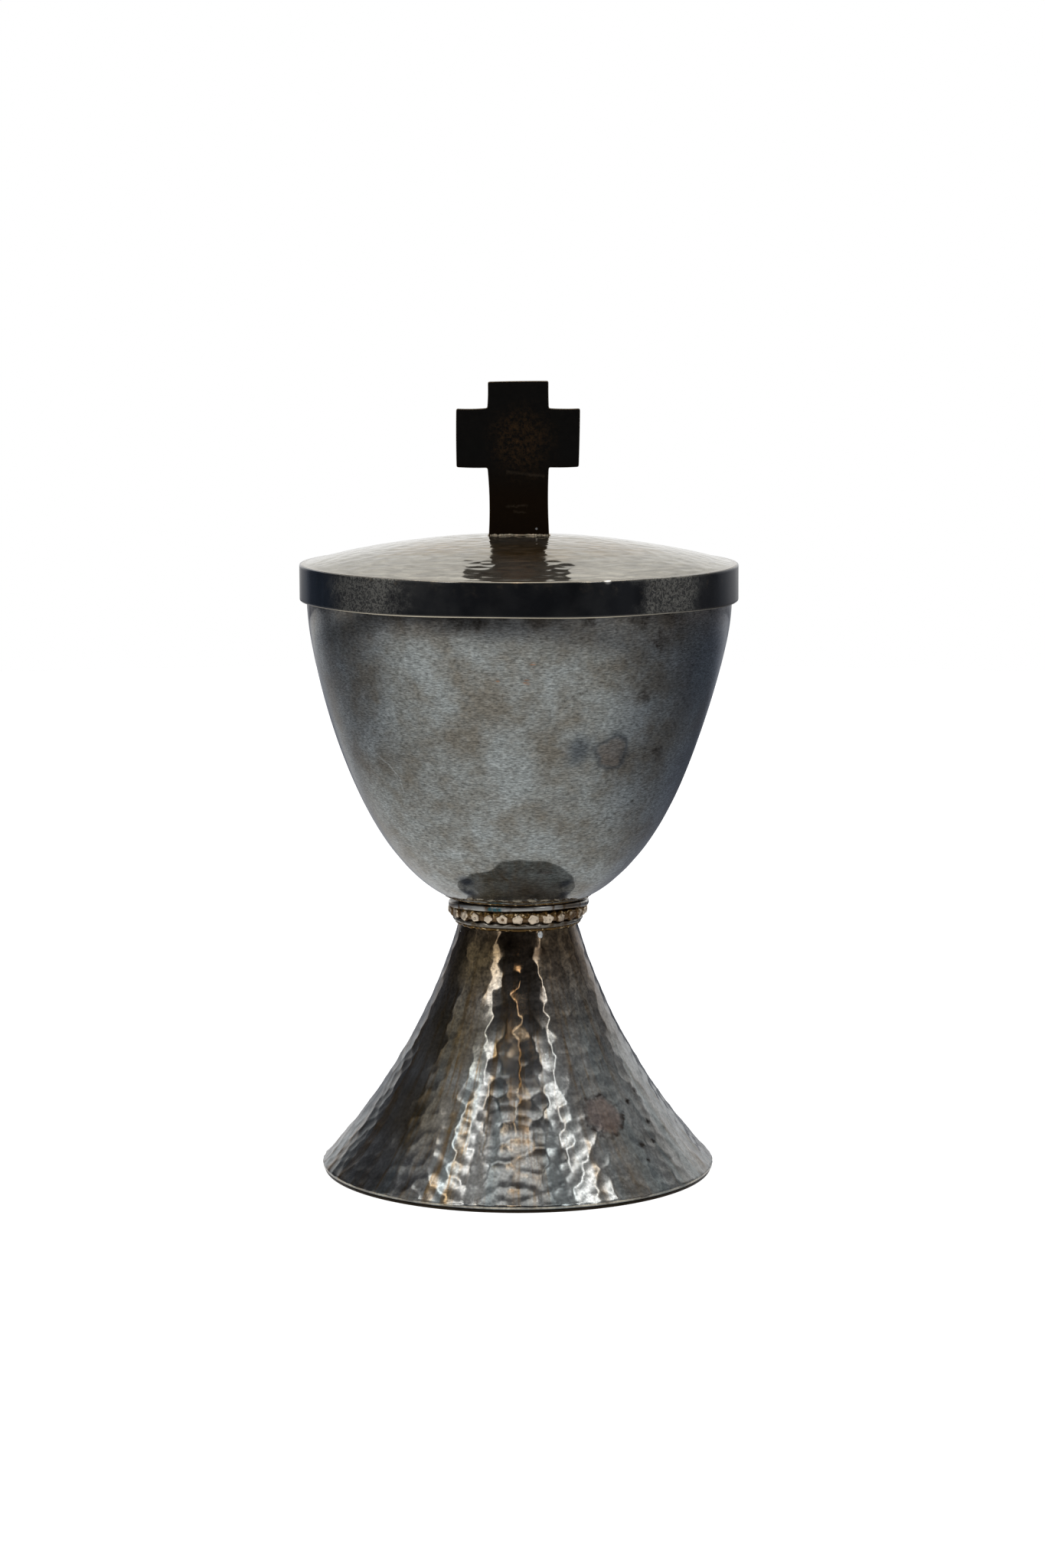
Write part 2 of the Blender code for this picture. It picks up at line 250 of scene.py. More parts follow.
def hammer_blows(along, radius, columns, pitch, random):
    """Surface left by rows of overlapping hammer blows. At each point it is the least, over the blows
    around, of the squared distance to the blow in half pitches plus that blow's own set-off: 0 in the
    deepest hollows and about 1 on the ridges where hollows meet."""
    blow_rows = int(along.max() / pitch) + 4
    most_blows = int(math.tau * radius.max() / pitch) + 4
    scatter = random.uniform(-BLOW_SCATTER, BLOW_SCATTER, (3, blow_rows, most_blows))
    angle = around(columns)
    surface = np.full((len(along), columns), np.inf)
    for row_step in (-1, 0, 1, 2):
        row = np.clip(np.floor(along / pitch).astype(int) + row_step, 0, blow_rows - 1)[:, None]
        count = np.maximum(np.round(math.tau * np.interp(row * pitch, along, radius) / pitch), 3)
        turn = angle / math.tau * count + 0.5 * (row % 2)
        for blow_step in (-1, 0, 1):
            blow = np.round(turn) + blow_step
            aside, ahead, set_off = scatter[:, row, (blow % count).astype(int)]
            across = (turn - blow - aside) * math.tau / count * radius[:, None]
            down = along[:, None] - (row + ahead) * pitch
            hollow = (across**2 + down**2) / (pitch / 2) ** 2
            surface = np.minimum(surface, hollow + BLOW_SET_OFF * (set_off + BLOW_SCATTER))
    return surface


def unevenness(along, columns, length, random, waves=18, most_turns=8):
    """Unevenness of hand work, mostly between -1 and 1: a sum of cosines, each of a whole number of
    turns round the axis and a random pace along the piece, over the root of their number."""
    turns = random.integers(1, most_turns + 1, waves)
    pace = random.uniform(-1.0, 1.0, waves) * math.tau / length
    phase = random.uniform(0.0, math.tau, waves)
    swing = np.cos(turns * around(columns)[None, :, None] + pace * along[:, None, None] + phase)
    return swing.sum(axis=-1) / math.sqrt(waves)


foot_side = flare(0.0, rim_top[1], neck_top[1], FOOT_ROWS)
foot_along = run_length(foot_side)
foot_blows = hammer_blows(foot_along, foot_side[:, 0], FOOT_COLUMNS, FOOT_BLOW_PITCH, foot_random)
blow_depth = FOOT_BLOW_DEPTH * (1.0 - FOOT_BLOWS_LOSS * smooth_step(foot_side[:, 1:], *FOOT_BLOWS_FADE))
foot_lift = blow_depth * (foot_blows - BLOW_MEAN)
foot_lift += FOOT_WAVES * unevenness(foot_along, FOOT_COLUMNS, FOOT_WAVE_LENGTH, foot_random)
foot_edge = np.array([
    [foot_high[0] - FOOT_EDGE_ROUNDING, foot_low[2]], [foot_high[0], foot_low[2] + FOOT_EDGE_ROUNDING],
    [foot_high[0] + FOOT_EDGE_BULGE, rim_top[1] - 2 * FOOT_EDGE_ROUNDING],
])
foot_inside = flare(FOOT_SHEET, foot_high[2], foot_low[2], FOOT_INSIDE_ROWS)
beyond_side = ((len(foot_edge), len(foot_inside)), (0, 0))
# The top of the rim's edge is painted pale: partly wear, partly a painted highlight.
foot_wear_and_highlight = np.zeros((len(foot_edge) + FOOT_ROWS + len(foot_inside), FOOT_COLUMNS))
foot_wear_and_highlight[len(foot_edge) - 1] = 1.0

# Dark tarnished silver plate, hammered: a blue-grey mirror, brown at the neck and along the ridges where
# the plate wore, with brown runs down the flare, a warm flank on the left and a painted blue reflection
# along the left side, a ringed stain and pits on the right, and a rim rubbed pale by the table whose pale
# line is partly a painted highlight.
foot_metal, add, shader, place = new_metal("dark_tarnished_hammered_silver_plate")
NECK_SMOKE = ((-5.2, -15.2, 62.5, 5.5), (5.6, -15.4, 60.5, 4))
WARM_FLANK = ((-12, -13, 56, 12), (-17, -19, 38, 17), (-26, -27, 20, 17))
# painted reflection: blue-grey along the foot's left side, where its edge mirrors a blue tone
PAINTED_BLUE_REFLECTION_FLANK = ((-17, 3, 60, 9.5), (-24, 3, 42, 15), (-36, 5, 20, 18))
FOOT_STAIN = (22.1, -29.8, 20.3)
FOOT_PITS = (
    (28.7, -21.7, 22, 1.3), (30.6, -16.4, 23.9, 1.3), (32.2, -28.5, 12.1, 1.5), (33.8, -31, 8.6, 1),
    (33.9, -20.6, 16.6, 1.2), (35.2, -24.5, 12.2, 1.1),
)


def spots(add, place, centres, soft):
    """Mask that is 1 inside any of the spots, each a centre and a radius in millimetres, and falls
    to 0 over the outer share of the radius that soft gives."""
    mask = 0.0
    for *centre, radius in centres:
        distance = add("VectorMath", (place, Vector(centre) * MM), "DISTANCE")
        ends = (distance, radius * (1 - soft) * MM, radius * MM, 1.0, 0.0)
        near = add("MapRange", ends, "SMOOTHSTEP")
        mask = add("Math", (near, mask), "MAXIMUM")
    return mask


def ringed(add, place, centre, outside, inside):
    """Masks of the edge and of the middle of a ringed stain. Outside and inside are each a radius in
    millimetres and how soft it is."""
    whole, middle = (spots(add, place, ((*centre, size),), soft) for size, soft in (outside, inside))
    return add("Math", (whole, middle), "SUBTRACT"), middle


def shaken(add, place, size, reach):
    """Object coordinates shaken by noise of a size, by up to a reach, both in millimetres, which gives
    stains uneven outlines."""
    noise = add("TexNoise", (place, per_mm(size), 4.0)).node.outputs["Color"]
    shift = add("VectorMath", (noise, (0.5, 0.5, 0.5)), "SUBTRACT")
    return add("VectorMath", (shift, [2 * reach * MM] * 3, place), "MULTIPLY_ADD")


def by_height(add, place, start, end, most=1.0, course="LINEAR"):
    """Mask that goes from 0 at the start height to its most at the end height, in millimetres."""
    height = add("SeparateXYZ", (place,)).node.outputs["Z"]
    return add("MapRange", (height, start * MM, end * MM, 0.0, most), course)


level = add("VectorMath", (place, (1.0, 1.0, 0.0)), "MULTIPLY")
heading = add("VectorMath", (level,), "NORMALIZE")
upright = add("VectorMath", (place, (0.0, 0.0, per_mm(30))), "MULTIPLY")
run_place = add("VectorMath", (heading, (16.0, 16.0, 0.0), upright), "MULTIPLY_ADD")
runs = add("TexNoise", (run_place, 1.0, 6.0, 0.65))
side = add("SeparateXYZ", (place,)).node.outputs["X"]
run_depth = add("MapRange", (side, -10 * MM, 25 * MM, 0.9, 0.35))
run_mask = add("MapRange", (runs, 0.46, 0.7, 0.0, run_depth), "SMOOTHSTEP")
cool = add("TexNoise", (run_place, 0.55, 5.0))
cool_mask = add("MapRange", (cool, 0.44, 0.64, 0.0, 0.5))
blotches = add("TexNoise", (place, per_mm(9), 7.0))
blotch_mask = add("MapRange", (blotches, 0.35, 0.65))
ridges = add("Attribute", (), "ridge").node.outputs["Fac"]
ridge_mask = add("Math", (ridges, run_mask), "MULTIPLY")
neck_mask = by_height(add, place, 28, 64, 0.8, "SMOOTHSTEP")
# Painted reflection: the blue-grey of the foot's left side, which also gets a rougher shine.
cold = spots(add, place, PAINTED_BLUE_REFLECTION_FLANK, 0.8)
stain_place = shaken(add, shaken(add, place, 5.0, 2.6), 1.2, 0.9)
stain_edge, stain_middle = ringed(add, stain_place, FOOT_STAIN, (6.9, 0.2), (5.9, 0.35))
crust = add("TexNoise", (place, per_mm(2.2), 4.0))
stain_edge = add("MapRange", (crust, 0.38, 0.58, 0.0, stain_edge))
wear = add("Attribute", (), "wear").node.outputs["Fac"]
# Pale rim: partly wear, partly a painted highlight.
wear_and_highlight_mask = add("Math", (wear, blotch_mask), "MULTIPLY")
colour = stained(
    add, "#6d6c69", (blotch_mask, "#8d8e8c"), (cool_mask, "#6b7779"), (run_mask, "#6a5840"),
    (ridge_mask, "#6e5b3e"), (neck_mask, "#574733"),
    (by_height(add, place, 50, 64, 0.6, "SMOOTHSTEP"), "#423421"),
    (spots(add, shaken(add, place, 3.0, 2.0), NECK_SMOKE, 0.8), "#2b2218"),
    (spots(add, place, WARM_FLANK, 0.8), "#6a5c40", 0.55), (cold, "#414a58", 0.7),
    (stain_edge, "#342d29"), (stain_middle, "#725f57", 0.62),
    (spots(add, shaken(add, place, 1.0, 0.7), FOOT_PITS, 0.8), "#2b2621"), (wear_and_highlight_mask, "#d8cfb9"),
)
grit = add("TexNoise", (place, per_mm(0.8), 4.0))
darker = add("Math", (neck_mask, -0.35, 0.75), "MULTIPLY_ADD")
lighter = add("Math", (neck_mask, 0.35, 1.25), "MULTIPLY_ADD")
grain = add("MapRange", (grit, 0.3, 0.7, darker, lighter))
colour = add("VectorMath", (colour, grain), "SCALE")
roughness = add("MapRange", (blotches, 0.3, 0.7, 0.15, 0.22))
roughness = add("Math", (neck_mask, -0.11, roughness), "MULTIPLY_ADD")
roughness = add("Math", (cold, 0.154, roughness), "MULTIPLY_ADD")
connect(shader, {
    "Base Color": colour, "Roughness": roughness, "Metallic": 0.91, "Specular Tint": linear("#ececee"),
})

foot_profile = np.vstack([foot_edge, foot_side, foot_inside])
foot = add_piece(
    "hammered_foot", "cup", turned(foot_profile, FOOT_COLUMNS, np.pad(foot_lift, beyond_side)), foot_metal,
    ridge=np.pad(smooth_step(foot_blows, *FOOT_RIDGES), beyond_side), wear=foot_wear_and_highlight,
)
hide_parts("foot_shell")

# Tie: a brass stud soldered under the bowl, drawn down inside the neck by a washer and a nut, so
# that the cup comes apart for plating. The solids have its shape; brass gets its turning marks.
tie_metal, add, shader, place = new_metal("turned_brass")
lathe_place = add("VectorMath", (place, (1.0, 1.0, 8.0)), "MULTIPLY")
marks = add("TexNoise", (lathe_place, per_mm(2.5), 4.0))
roughness = add("MapRange", (marks, 0.0, 1.0, 0.24, 0.42))
connect(shader, {"Base Color": stained(add, "#a5803f", (marks, "#c8a763")), "Roughness": roughness})
for node in ("tie_stud", "tie_washer", "tie_nut"):
    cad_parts[node].data.materials.clear()
    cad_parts[node].data.materials.append(tie_metal)

# Collar base: a thick disc that closes the foot's neck, with the beaded wire on its edge. Its edge
# draws in below, down over the neck, and is pressed up between the beads in scallops.
COLLAR_COLUMNS = 420
COLLAR_BORE = 3.25
BEAD_COUNT = 28
BASE_ROUNDING = 0.8
BASE_COVE = 1.35  # how far its edge draws in below
BASE_SAG = 0.25  # how far it reaches down over the neck
SCALLOP = 0.45
SCALLOP_WIDTH = 0.5
BASE_TOP_INSET = 0.05
collar_random = np.random.default_rng(23)

# Worn silver plate: grey with a dull shine, brown where dirt stays, with blue-green specks of verdigris.
collar_metal, add, shader, place = new_metal("worn_silver_plate")
COLLAR_DIRT = ((13.6, -12.3, 71.5, 7), (-17.5, -5.6, 71, 5))
VERDIGRIS = ((-7.3, -17.1, 72, 1), (-6, -17.6, 71.9, 1.2), (-4.7, -18, 72, 1))
blotches = add("TexNoise", (place, per_mm(2.6), 6.0))
dirt = add("MapRange", (blotches, 0.5, 0.66), "SMOOTHSTEP")
# The collar's base, below the beads, is darker towards its bottom.
colour = stained(
    add, "#a8a8a4", (dirt, "#5a4630"), (by_height(add, place, 69.0, 67.8, 0.6), "#62594a"),
    (spots(add, shaken(add, place, 1.6, 1.8), COLLAR_DIRT, 0.8), "#5b4831", 0.75),
    (spots(add, shaken(add, place, 1.0, 0.5), VERDIGRIS, 1.0), "#2c626e"),
)
roughness = add("MapRange", (blotches, 0.0, 1.0, 0.18, 0.48))
connect(shader, {"Base Color": colour, "Roughness": roughness})

base_low, base_high = box_mm("collar_base")
base_rim, base_top, base_bottom = base_high[0], base_high[2], base_low[2] - BASE_SAG
turn = np.linspace(-math.pi / 2, 0.0, 9)
base_cove = [base_rim - BASE_COVE * (1 - np.cos(turn)), base_bottom + BASE_ROUNDING * (1 + np.sin(turn))]
base_profile = np.vstack([
    [[COLLAR_BORE, base_bottom]], np.column_stack(base_cove),
    [[base_rim - BASE_TOP_INSET, base_top], [base_rim - SCALLOP_WIDTH, base_top], [COLLAR_BORE, base_top]],
])
base_grid = turned(base_profile, COLLAR_COLUMNS)
base_grid[-3:-1, :, 2] += SCALLOP * (0.5 - 0.5 * np.cos(BEAD_COUNT * around(COLLAR_COLUMNS)))
collar_base = add_piece("scalloped_collar_base", "cup", base_grid, collar_metal)
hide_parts("collar_base")

# Solder: fillets of silver solder that ran into the seams and were left as they were, lumpy and
# brown with flux, and at the neck two drops.
NECK_SEAM_RADIUS = 16.05
NECK_SEAM_DROP = 0.4
NECK_SOLDER = 0.45
SOLDER_LUMPS = 0.3  # how much a bead of solder swells and shrinks, as a share of its size
SOLDER_SIDES = 12
NECK_DROPS = (  # centre, half-width and half-height
    ((5.8, -14.6, 64.9), 0.8, 1.2), ((-14.7, -5.8, 64), 0.45, 0.75),
)


def new_solder(name, size, bright_from, bright_to, colours, metallic, roughness):
    """Material of lumpy solder: lumps of a size in millimetres, dull below and bright above."""
    material, add, shader, place = new_metal(name)
    lumps = add("TexNoise", (place, per_mm(size), 4.0))
    bright = add("MapRange", (lumps, bright_from, bright_to), "SMOOTHSTEP")
    colour = stained(add, colours[0], (bright, colours[1]))
    connect(shader, {"Base Color": colour, "Metallic": metallic, "Roughness": roughness})
    return material


# Fluxed silver solder: brown where the flux burnt on, pale on the lumps.
solder_metal = new_solder("fluxed_silver_solder", 0.9, 0.54, 0.68, ("#67502f", "#c9b48f"), 1.0, 0.32)

# Clean silver solder: a drop without flux stays white, with a cold shine.
drop_metal, add, shader, place = new_metal("clean_silver_solder")
connect(shader, {"Base Color": linear("#d5dadb"), "Metallic": 0.5, "Roughness": 0.25})


def solder_bead(name, body, path, size, random, metal=solder_metal):
    """A lumpy bead of solder along a closed path: a small circle carried along it, its radius swelling
    with the unevenness of hand work."""
    turn = around(SOLDER_SIDES)[:, None, None]
    ahead = np.roll(path, -1, axis=0) - np.roll(path, 1, axis=0)
    aside = np.column_stack([ahead[:, 1], -ahead[:, 0], np.zeros(len(path))])
    aside /= np.linalg.norm(aside, axis=1)[:, None]
    lumps = unevenness(np.zeros(1), len(path), 1.0, random, waves=80, most_turns=70)[0]
    swell = size * (1.0 + SOLDER_LUMPS * lumps)[:, None]
    grid = path + swell * (np.cos(turn) * aside + np.sin(turn) * np.array([0.0, 0.0, 1.0]))
    add_piece(name, body, grid, metal)


def level_circle(radius, height):
    """Points of a level circle round the axis."""
    angle = around(COLLAR_COLUMNS)
    return np.stack(np.broadcast_arrays(radius * np.sin(angle), -radius * np.cos(angle), height), axis=-1)


neck_seam = level_circle(NECK_SEAM_RADIUS, base_low[2] - NECK_SEAM_DROP)
solder_bead("neck_solder", "cup", neck_seam, NECK_SOLDER, collar_random)
turn = np.linspace(-1.45, 1.45, 11)  # nearly from pole to pole
drop_grids = np.array([
    turned(np.column_stack([half_width * np.cos(turn), half_height * np.sin(turn)]), 20) + np.array(centre)
    for centre, half_width, half_height in NECK_DROPS
])
drop_faces = np.array(wall_faces(*drop_grids.shape[1:3]))
drop_faces = np.vstack([drop_faces, drop_faces + drop_grids[0, ..., 0].size]).tolist()
drops = add_piece("solder_drops", "cup", drop_grids, drop_metal, drop_faces)

# Bead ring: a wire of round beads soldered between the collar's base and its plate. The beads' faces
# are flattened and rubbed bright, and brown dirt stays between them.
BEAD_CIRCLE = 17.2
BEAD_RAISE = 0.25
BEAD_HALF_WIDTH = 1.52
BEAD_HALF_HEIGHT = 1.28
BEAD_REACH = 1.15
BEAD_FLATNESS = 1.8  # the higher, the flatter the faces
BEAD_TILT = 0.2
BEAD_FACETS = (0.09, 0.06)  # how far a bead's outline is five-sided and three-sided
BEAD_FULLNESS = 0.8
BEAD_SIZES = 0.13  # how much the beads differ in size
BEAD_SPACING = 0.012  # how far they stand from even spacing, in radians
BEAD_POLE = 0.02  # angle from its axis at which a cap closes a bead
BEAD_CREVICE = (0.9, 1.7)  # angles from the face's middle over which dirt sets in
DIMPLE_DEPTH = 0.5
DIMPLE_REACH = 0.35
DIMPLE_SHARE = 0.3  # the higher, the more of the beads have a dimple
BEAD_COLUMNS = 24
BEAD_ROWS = 14
BEAD_SOLDER = 0.95
BEAD_SEAM = (-0.25, 0.35)  # how far out and up from the beads' middle it runs
BEAD_SEAM_PRESS = 0.6
PRESS_REACH = (-2.0, 18.0)  # distances from the sides' line over which the collar is pressed up
CORE_RADIUS = 1.0
CORE_INSET = 0.2

bead_low, bead_high = box_mm("bead_ring")
bead_z = (bead_low[2] + bead_high[2]) / 2 + BEAD_RAISE
polar = np.linspace(BEAD_POLE, math.pi - BEAD_POLE, BEAD_ROWS)[None, :, None]  # from the face inwards
round_face = around(BEAD_COLUMNS)[None, None, :]
vary = collar_random.uniform(-1.0, 1.0, (6, BEAD_COUNT, 1, 1))
five_sided, three_sided = (np.cos(n * round_face + 3 * vary[k]) for n, k in ((5, 0), (3, 4)))
facets = 1.0 + BEAD_FACETS[0] * five_sided + BEAD_FACETS[1] * three_sided
face_radius = np.sin(polar) ** BEAD_FULLNESS * facets * (1 + BEAD_SIZES * vary[1])
dimple = DIMPLE_DEPTH * np.exp(-((polar / DIMPLE_REACH) ** 2)) * np.clip(vary[2] + DIMPLE_SHARE, 0.0, 1.0)
depth = BEAD_REACH * (np.tanh(BEAD_FLATNESS * np.cos(polar)) / math.tanh(BEAD_FLATNESS) - dimple)
aside = BEAD_HALF_WIDTH * face_radius * np.cos(round_face)
rise = BEAD_HALF_HEIGHT * face_radius * np.sin(round_face)
bead_radius = BEAD_CIRCLE + (depth + BEAD_TILT * vary[3] * aside + BEAD_TILT * vary[4] * rise)
bead_angle = math.tau * np.arange(BEAD_COUNT)[:, None, None] / BEAD_COUNT + BEAD_SPACING * vary[5]
bead_points = np.stack(np.broadcast_arrays(
    bead_radius * np.sin(bead_angle) + aside * np.cos(bead_angle),
    -bead_radius * np.cos(bead_angle) + aside * np.sin(bead_angle),
    bead_z + rise,
), axis=-1)
bead_crevice = np.broadcast_to(smooth_step(polar, *BEAD_CREVICE), bead_points.shape[:3])
one_bead = np.array(wall_faces(BEAD_ROWS, BEAD_COLUMNS, closed=False))[:, ::-1]
cap = np.arange(BEAD_COLUMNS)
bead_faces = []
for first in range(0, bead_crevice.size, BEAD_ROWS * BEAD_COLUMNS):
    bead_faces += (one_bead + first).tolist()
    bead_faces += [(cap + first).tolist(), (cap[::-1] + first + (BEAD_ROWS - 1) * BEAD_COLUMNS).tolist()]

core_turn = around(10)
core_grid = turned(np.column_stack([
    BEAD_CIRCLE - CORE_INSET + CORE_RADIUS * np.cos(core_turn), bead_z + CORE_RADIUS * np.sin(core_turn)
]), COLLAR_COLUMNS)
core_faces = np.array(wall_faces(*core_grid.shape[:2])) + bead_crevice.size

# Rubbed bright silver plate: pale and warm on the beads' faces, dark brown in the crevices.
bead_metal, add, shader, place = new_metal("rubbed_bright_silver_plate")
BEAD_DIRT = ((14.4, -11.2, 69.2, 7.5), (-17.5, -5.6, 69.2, 6))
crevice = add("Attribute", (), "crevice").node.outputs["Fac"]
patches = add("TexNoise", (place, per_mm(1.1), 4.0))
dirt = add("Math", (spots(add, place, BEAD_DIRT, 0.8), 0.3, patches), "MULTIPLY_ADD")
dirt = add("Math", (crevice, dirt), "ADD")
dirt = add("MapRange", (dirt, 0.48, 0.82), "SMOOTHSTEP")
colour = stained(add, "#fdebd0", (dirt, "#6f5636"))
roughness = add("MapRange", (patches, 0.0, 1.0, 0.2, 0.45))
connect(shader, {"Base Color": colour, "Roughness": roughness, "Metallic": 0.45})

beads = add_piece(
    "beaded_wire", "cup", np.vstack([bead_points.reshape(-1, 3), core_grid.reshape(-1, 3)]), bead_metal,
    bead_faces + core_faces.tolist(),
    crevice=np.concatenate([bead_crevice.ravel(), np.ones(core_grid[..., 0].size)]),
)
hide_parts("bead_ring")


def pressed_up(points):
    """Share by which the collar is pressed up at a point: least at its sides, 1 at its front and back."""
    return smooth_step(np.abs(points[..., 1]), *PRESS_REACH)


bead_seam = level_circle(BEAD_CIRCLE + BEAD_SEAM[0], bead_z + BEAD_SEAM[1])
bead_seam[:, 2] += BEAD_SEAM_PRESS * pressed_up(bead_seam)
solder_bead("bead_solder", "cup", bead_seam, BEAD_SOLDER, collar_random)

# Collar plate: a ring with rounded corners on top of the beads. The bottom of the bowl sits in its
# hole and is soldered there, which left a brown line with bright drops.
SEAT_RADIUS = 15.55
PLATE_ROUNDING = 0.6
PLATE_SPREAD = 0.25  # how far the hammer spread its rim
PLATE_DROP = 0.3
PLATE_RISE = 1.2  # how far its front and back were pressed up towards the bowl
PLATE_TILT = 0.016
PLATE_SHIFT = 0.24
PLATE_WAVES = 0.06
plate_low, plate_high = box_mm("collar_plate")
plate_profile = rounded_band(
    SEAT_RADIUS, plate_high[0] + PLATE_SPREAD, plate_low[2] - PLATE_DROP, plate_high[2] - PLATE_DROP,
    PLATE_ROUNDING, side_steps=4,
)
plate_lift = unevenness(np.zeros(len(plate_profile)), COLLAR_COLUMNS, 1.0, collar_random, waves=30)
plate_grid = turned(plate_profile, COLLAR_COLUMNS, PLATE_WAVES * plate_lift)
plate_grid[..., 2] += PLATE_RISE * pressed_up(plate_grid) + PLATE_TILT * plate_grid[..., 0]
plate_grid[..., 0] += PLATE_SHIFT
collar_plate = add_piece("collar_ring", "cup", plate_grid, collar_metal)
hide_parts("collar_plate")

# Bowl: raised from one sheet, planished nearly smooth and silver-plated, an even curve up to a
# straight mouth. It is wiped level round and round, so the grey tarnish lies in fine level lines.
BOWL_DEPTH = 77.5
BOWL_SHEET = 1.2
BOWL_FULLNESS = 2.86
BOWL_TAPER = 1.2
LIP_ROUNDING = 0.3
MOUTH_BLEND = (118, 142)  # heights over which the mouth gets its softness
MOUTH_SOFTNESS = 6.5
BOWL_COLUMNS = 400
BOWL_ROWS = 160
BOWL_INSIDE_ROWS = 56
CURVE_SAMPLES = 4000
PLANISH_PITCH = 6.5
PLANISH_DEPTH = 0.012
PLANISH_ROUGHER = 6.0  # how many times deeper the blows are round the foot of the bowl
ROUGHER_FADE = (76.0, 92.0)  # heights between which they get shallow
BLOW_MOST = 1.6  # ridges above this level were struck down
BOWL_WAVES = 0.04
BOWL_WAVE_LENGTH = 40.0
BOWL_LEAN = 0.4  # how far the mouth stands to the right
LEAN_HEIGHTS = (112, 150)
LIP_DROP = 0.4
BOWL_SAG = 0.5  # how far its foot sank into the collar's ring
SAG_RADII = (18, 32)
POLE_RADIUS = 0.4  # rows end here, and a fan of faces closes the rest
BOWL_POLE_CALM = (2.0, 8.0)  # radii over which the blows begin
BOWL_SEAM_HEIGHT = 73.6  # up to here the bowl's foot is dark brown, and here the solder line runs
BOWL_SOLDER = 0.17
PLANISH_SWELLINGS = (  # centre, reach and height of low swellings left by single blows
    ((-8, -29.6, 82.8), 3, 0.5), ((12.3, -27, 82), 2.6, 0.2),
)
bowl_random = np.random.default_rng(37)

bowl_low, bowl_high = box_mm("cup_bowl")
bowl_radius = bowl_high[0]


def even_steps(points, steps):
    """The given number of points spaced evenly along a line of points."""
    along = run_length(points)
    wanted = np.linspace(0.0, along[-1], steps)
    return np.column_stack([np.interp(wanted, along, points[:, 0]), np.interp(wanted, along, points[:, 1])])


def poled(grid):
    """Points and faces of a turned grid whose first and last rows are closed by a point on the axis."""
    rows, columns = grid.shape[:2]
    ends = np.array([[0.0, 0.0, grid[0, :, 2].mean()], [0.0, 0.0, grid[-1, :, 2].mean()]])
    first, following = np.arange(columns), np.roll(np.arange(columns), -1)
    last = (rows - 1) * columns
    pole = rows * columns
    start_fan = np.stack([np.full(columns, pole), following, first], axis=-1)
    end_fan = np.stack([first + last, following + last, np.full(columns, pole + 1)], axis=-1)
    faces = wall_faces(rows, columns, closed=False) + start_fan.tolist() + end_fan.tolist()
    return np.vstack([grid.reshape(-1, 3), ends]), faces


def bowl_curve(height):
    """Radius of the bowl's wall at a height: R (1 - (1 - t)^taper)^(1 / fullness), with t the share of
    the depth, and R above it. Towards the mouth it is the mean over some way up and down, because the
    hammer leaves no corner there."""
    soft = MOUTH_SOFTNESS * smooth_step(height, *MOUTH_BLEND)
    near = height[:, None] + soft[:, None] * np.linspace(-1.0, 1.0, 25)
    share = np.clip((near - bowl_low[2]) / BOWL_DEPTH, 0.0, 1.0)
    return (bowl_radius * (1 - (1 - share) ** BOWL_TAPER) ** (1 / BOWL_FULLNESS)).mean(axis=1)


lip_z = bowl_high[2] - LIP_DROP - LIP_ROUNDING
wall_height = bowl_low[2] + (lip_z - bowl_low[2]) * np.linspace(0.0, 1.0, CURVE_SAMPLES) ** 3
bowl_side = even_steps(np.column_stack([bowl_curve(wall_height), wall_height]), BOWL_ROWS)[1:]
bowl_side[:, 1] -= BOWL_SAG * (1 - smooth_step(bowl_side[:, 0], *SAG_RADII))
slope = directions(bowl_side)
bowl_inside = bowl_side + BOWL_SHEET * np.column_stack([-slope[:, 1], slope[:, 0]])
bowl_inside = even_steps(bowl_inside[bowl_inside[:, 0] > POLE_RADIUS][::-1], BOWL_INSIDE_ROWS)
turn = np.linspace(0.0, math.pi, 7)[1:-1]
lip_radius = bowl_radius - BOWL_SHEET / 2 * (1 - np.cos(turn))
lip = np.column_stack([lip_radius, lip_z + LIP_ROUNDING * np.sin(turn)])
bowl_along = run_length(bowl_side)
planish = hammer_blows(bowl_along, bowl_side[:, 0], BOWL_COLUMNS, PLANISH_PITCH, bowl_random)
bowl_lift = PLANISH_DEPTH * (np.clip(planish, 0.0, BLOW_MOST) - BLOW_MEAN)
bowl_lift *= PLANISH_ROUGHER + (1 - PLANISH_ROUGHER) * smooth_step(bowl_side[:, 1:], *ROUGHER_FADE)
bowl_lift += BOWL_WAVES * unevenness(bowl_along, BOWL_COLUMNS, BOWL_WAVE_LENGTH, bowl_random)
bowl_lift *= smooth_step(bowl_side[:, :1], *BOWL_POLE_CALM)

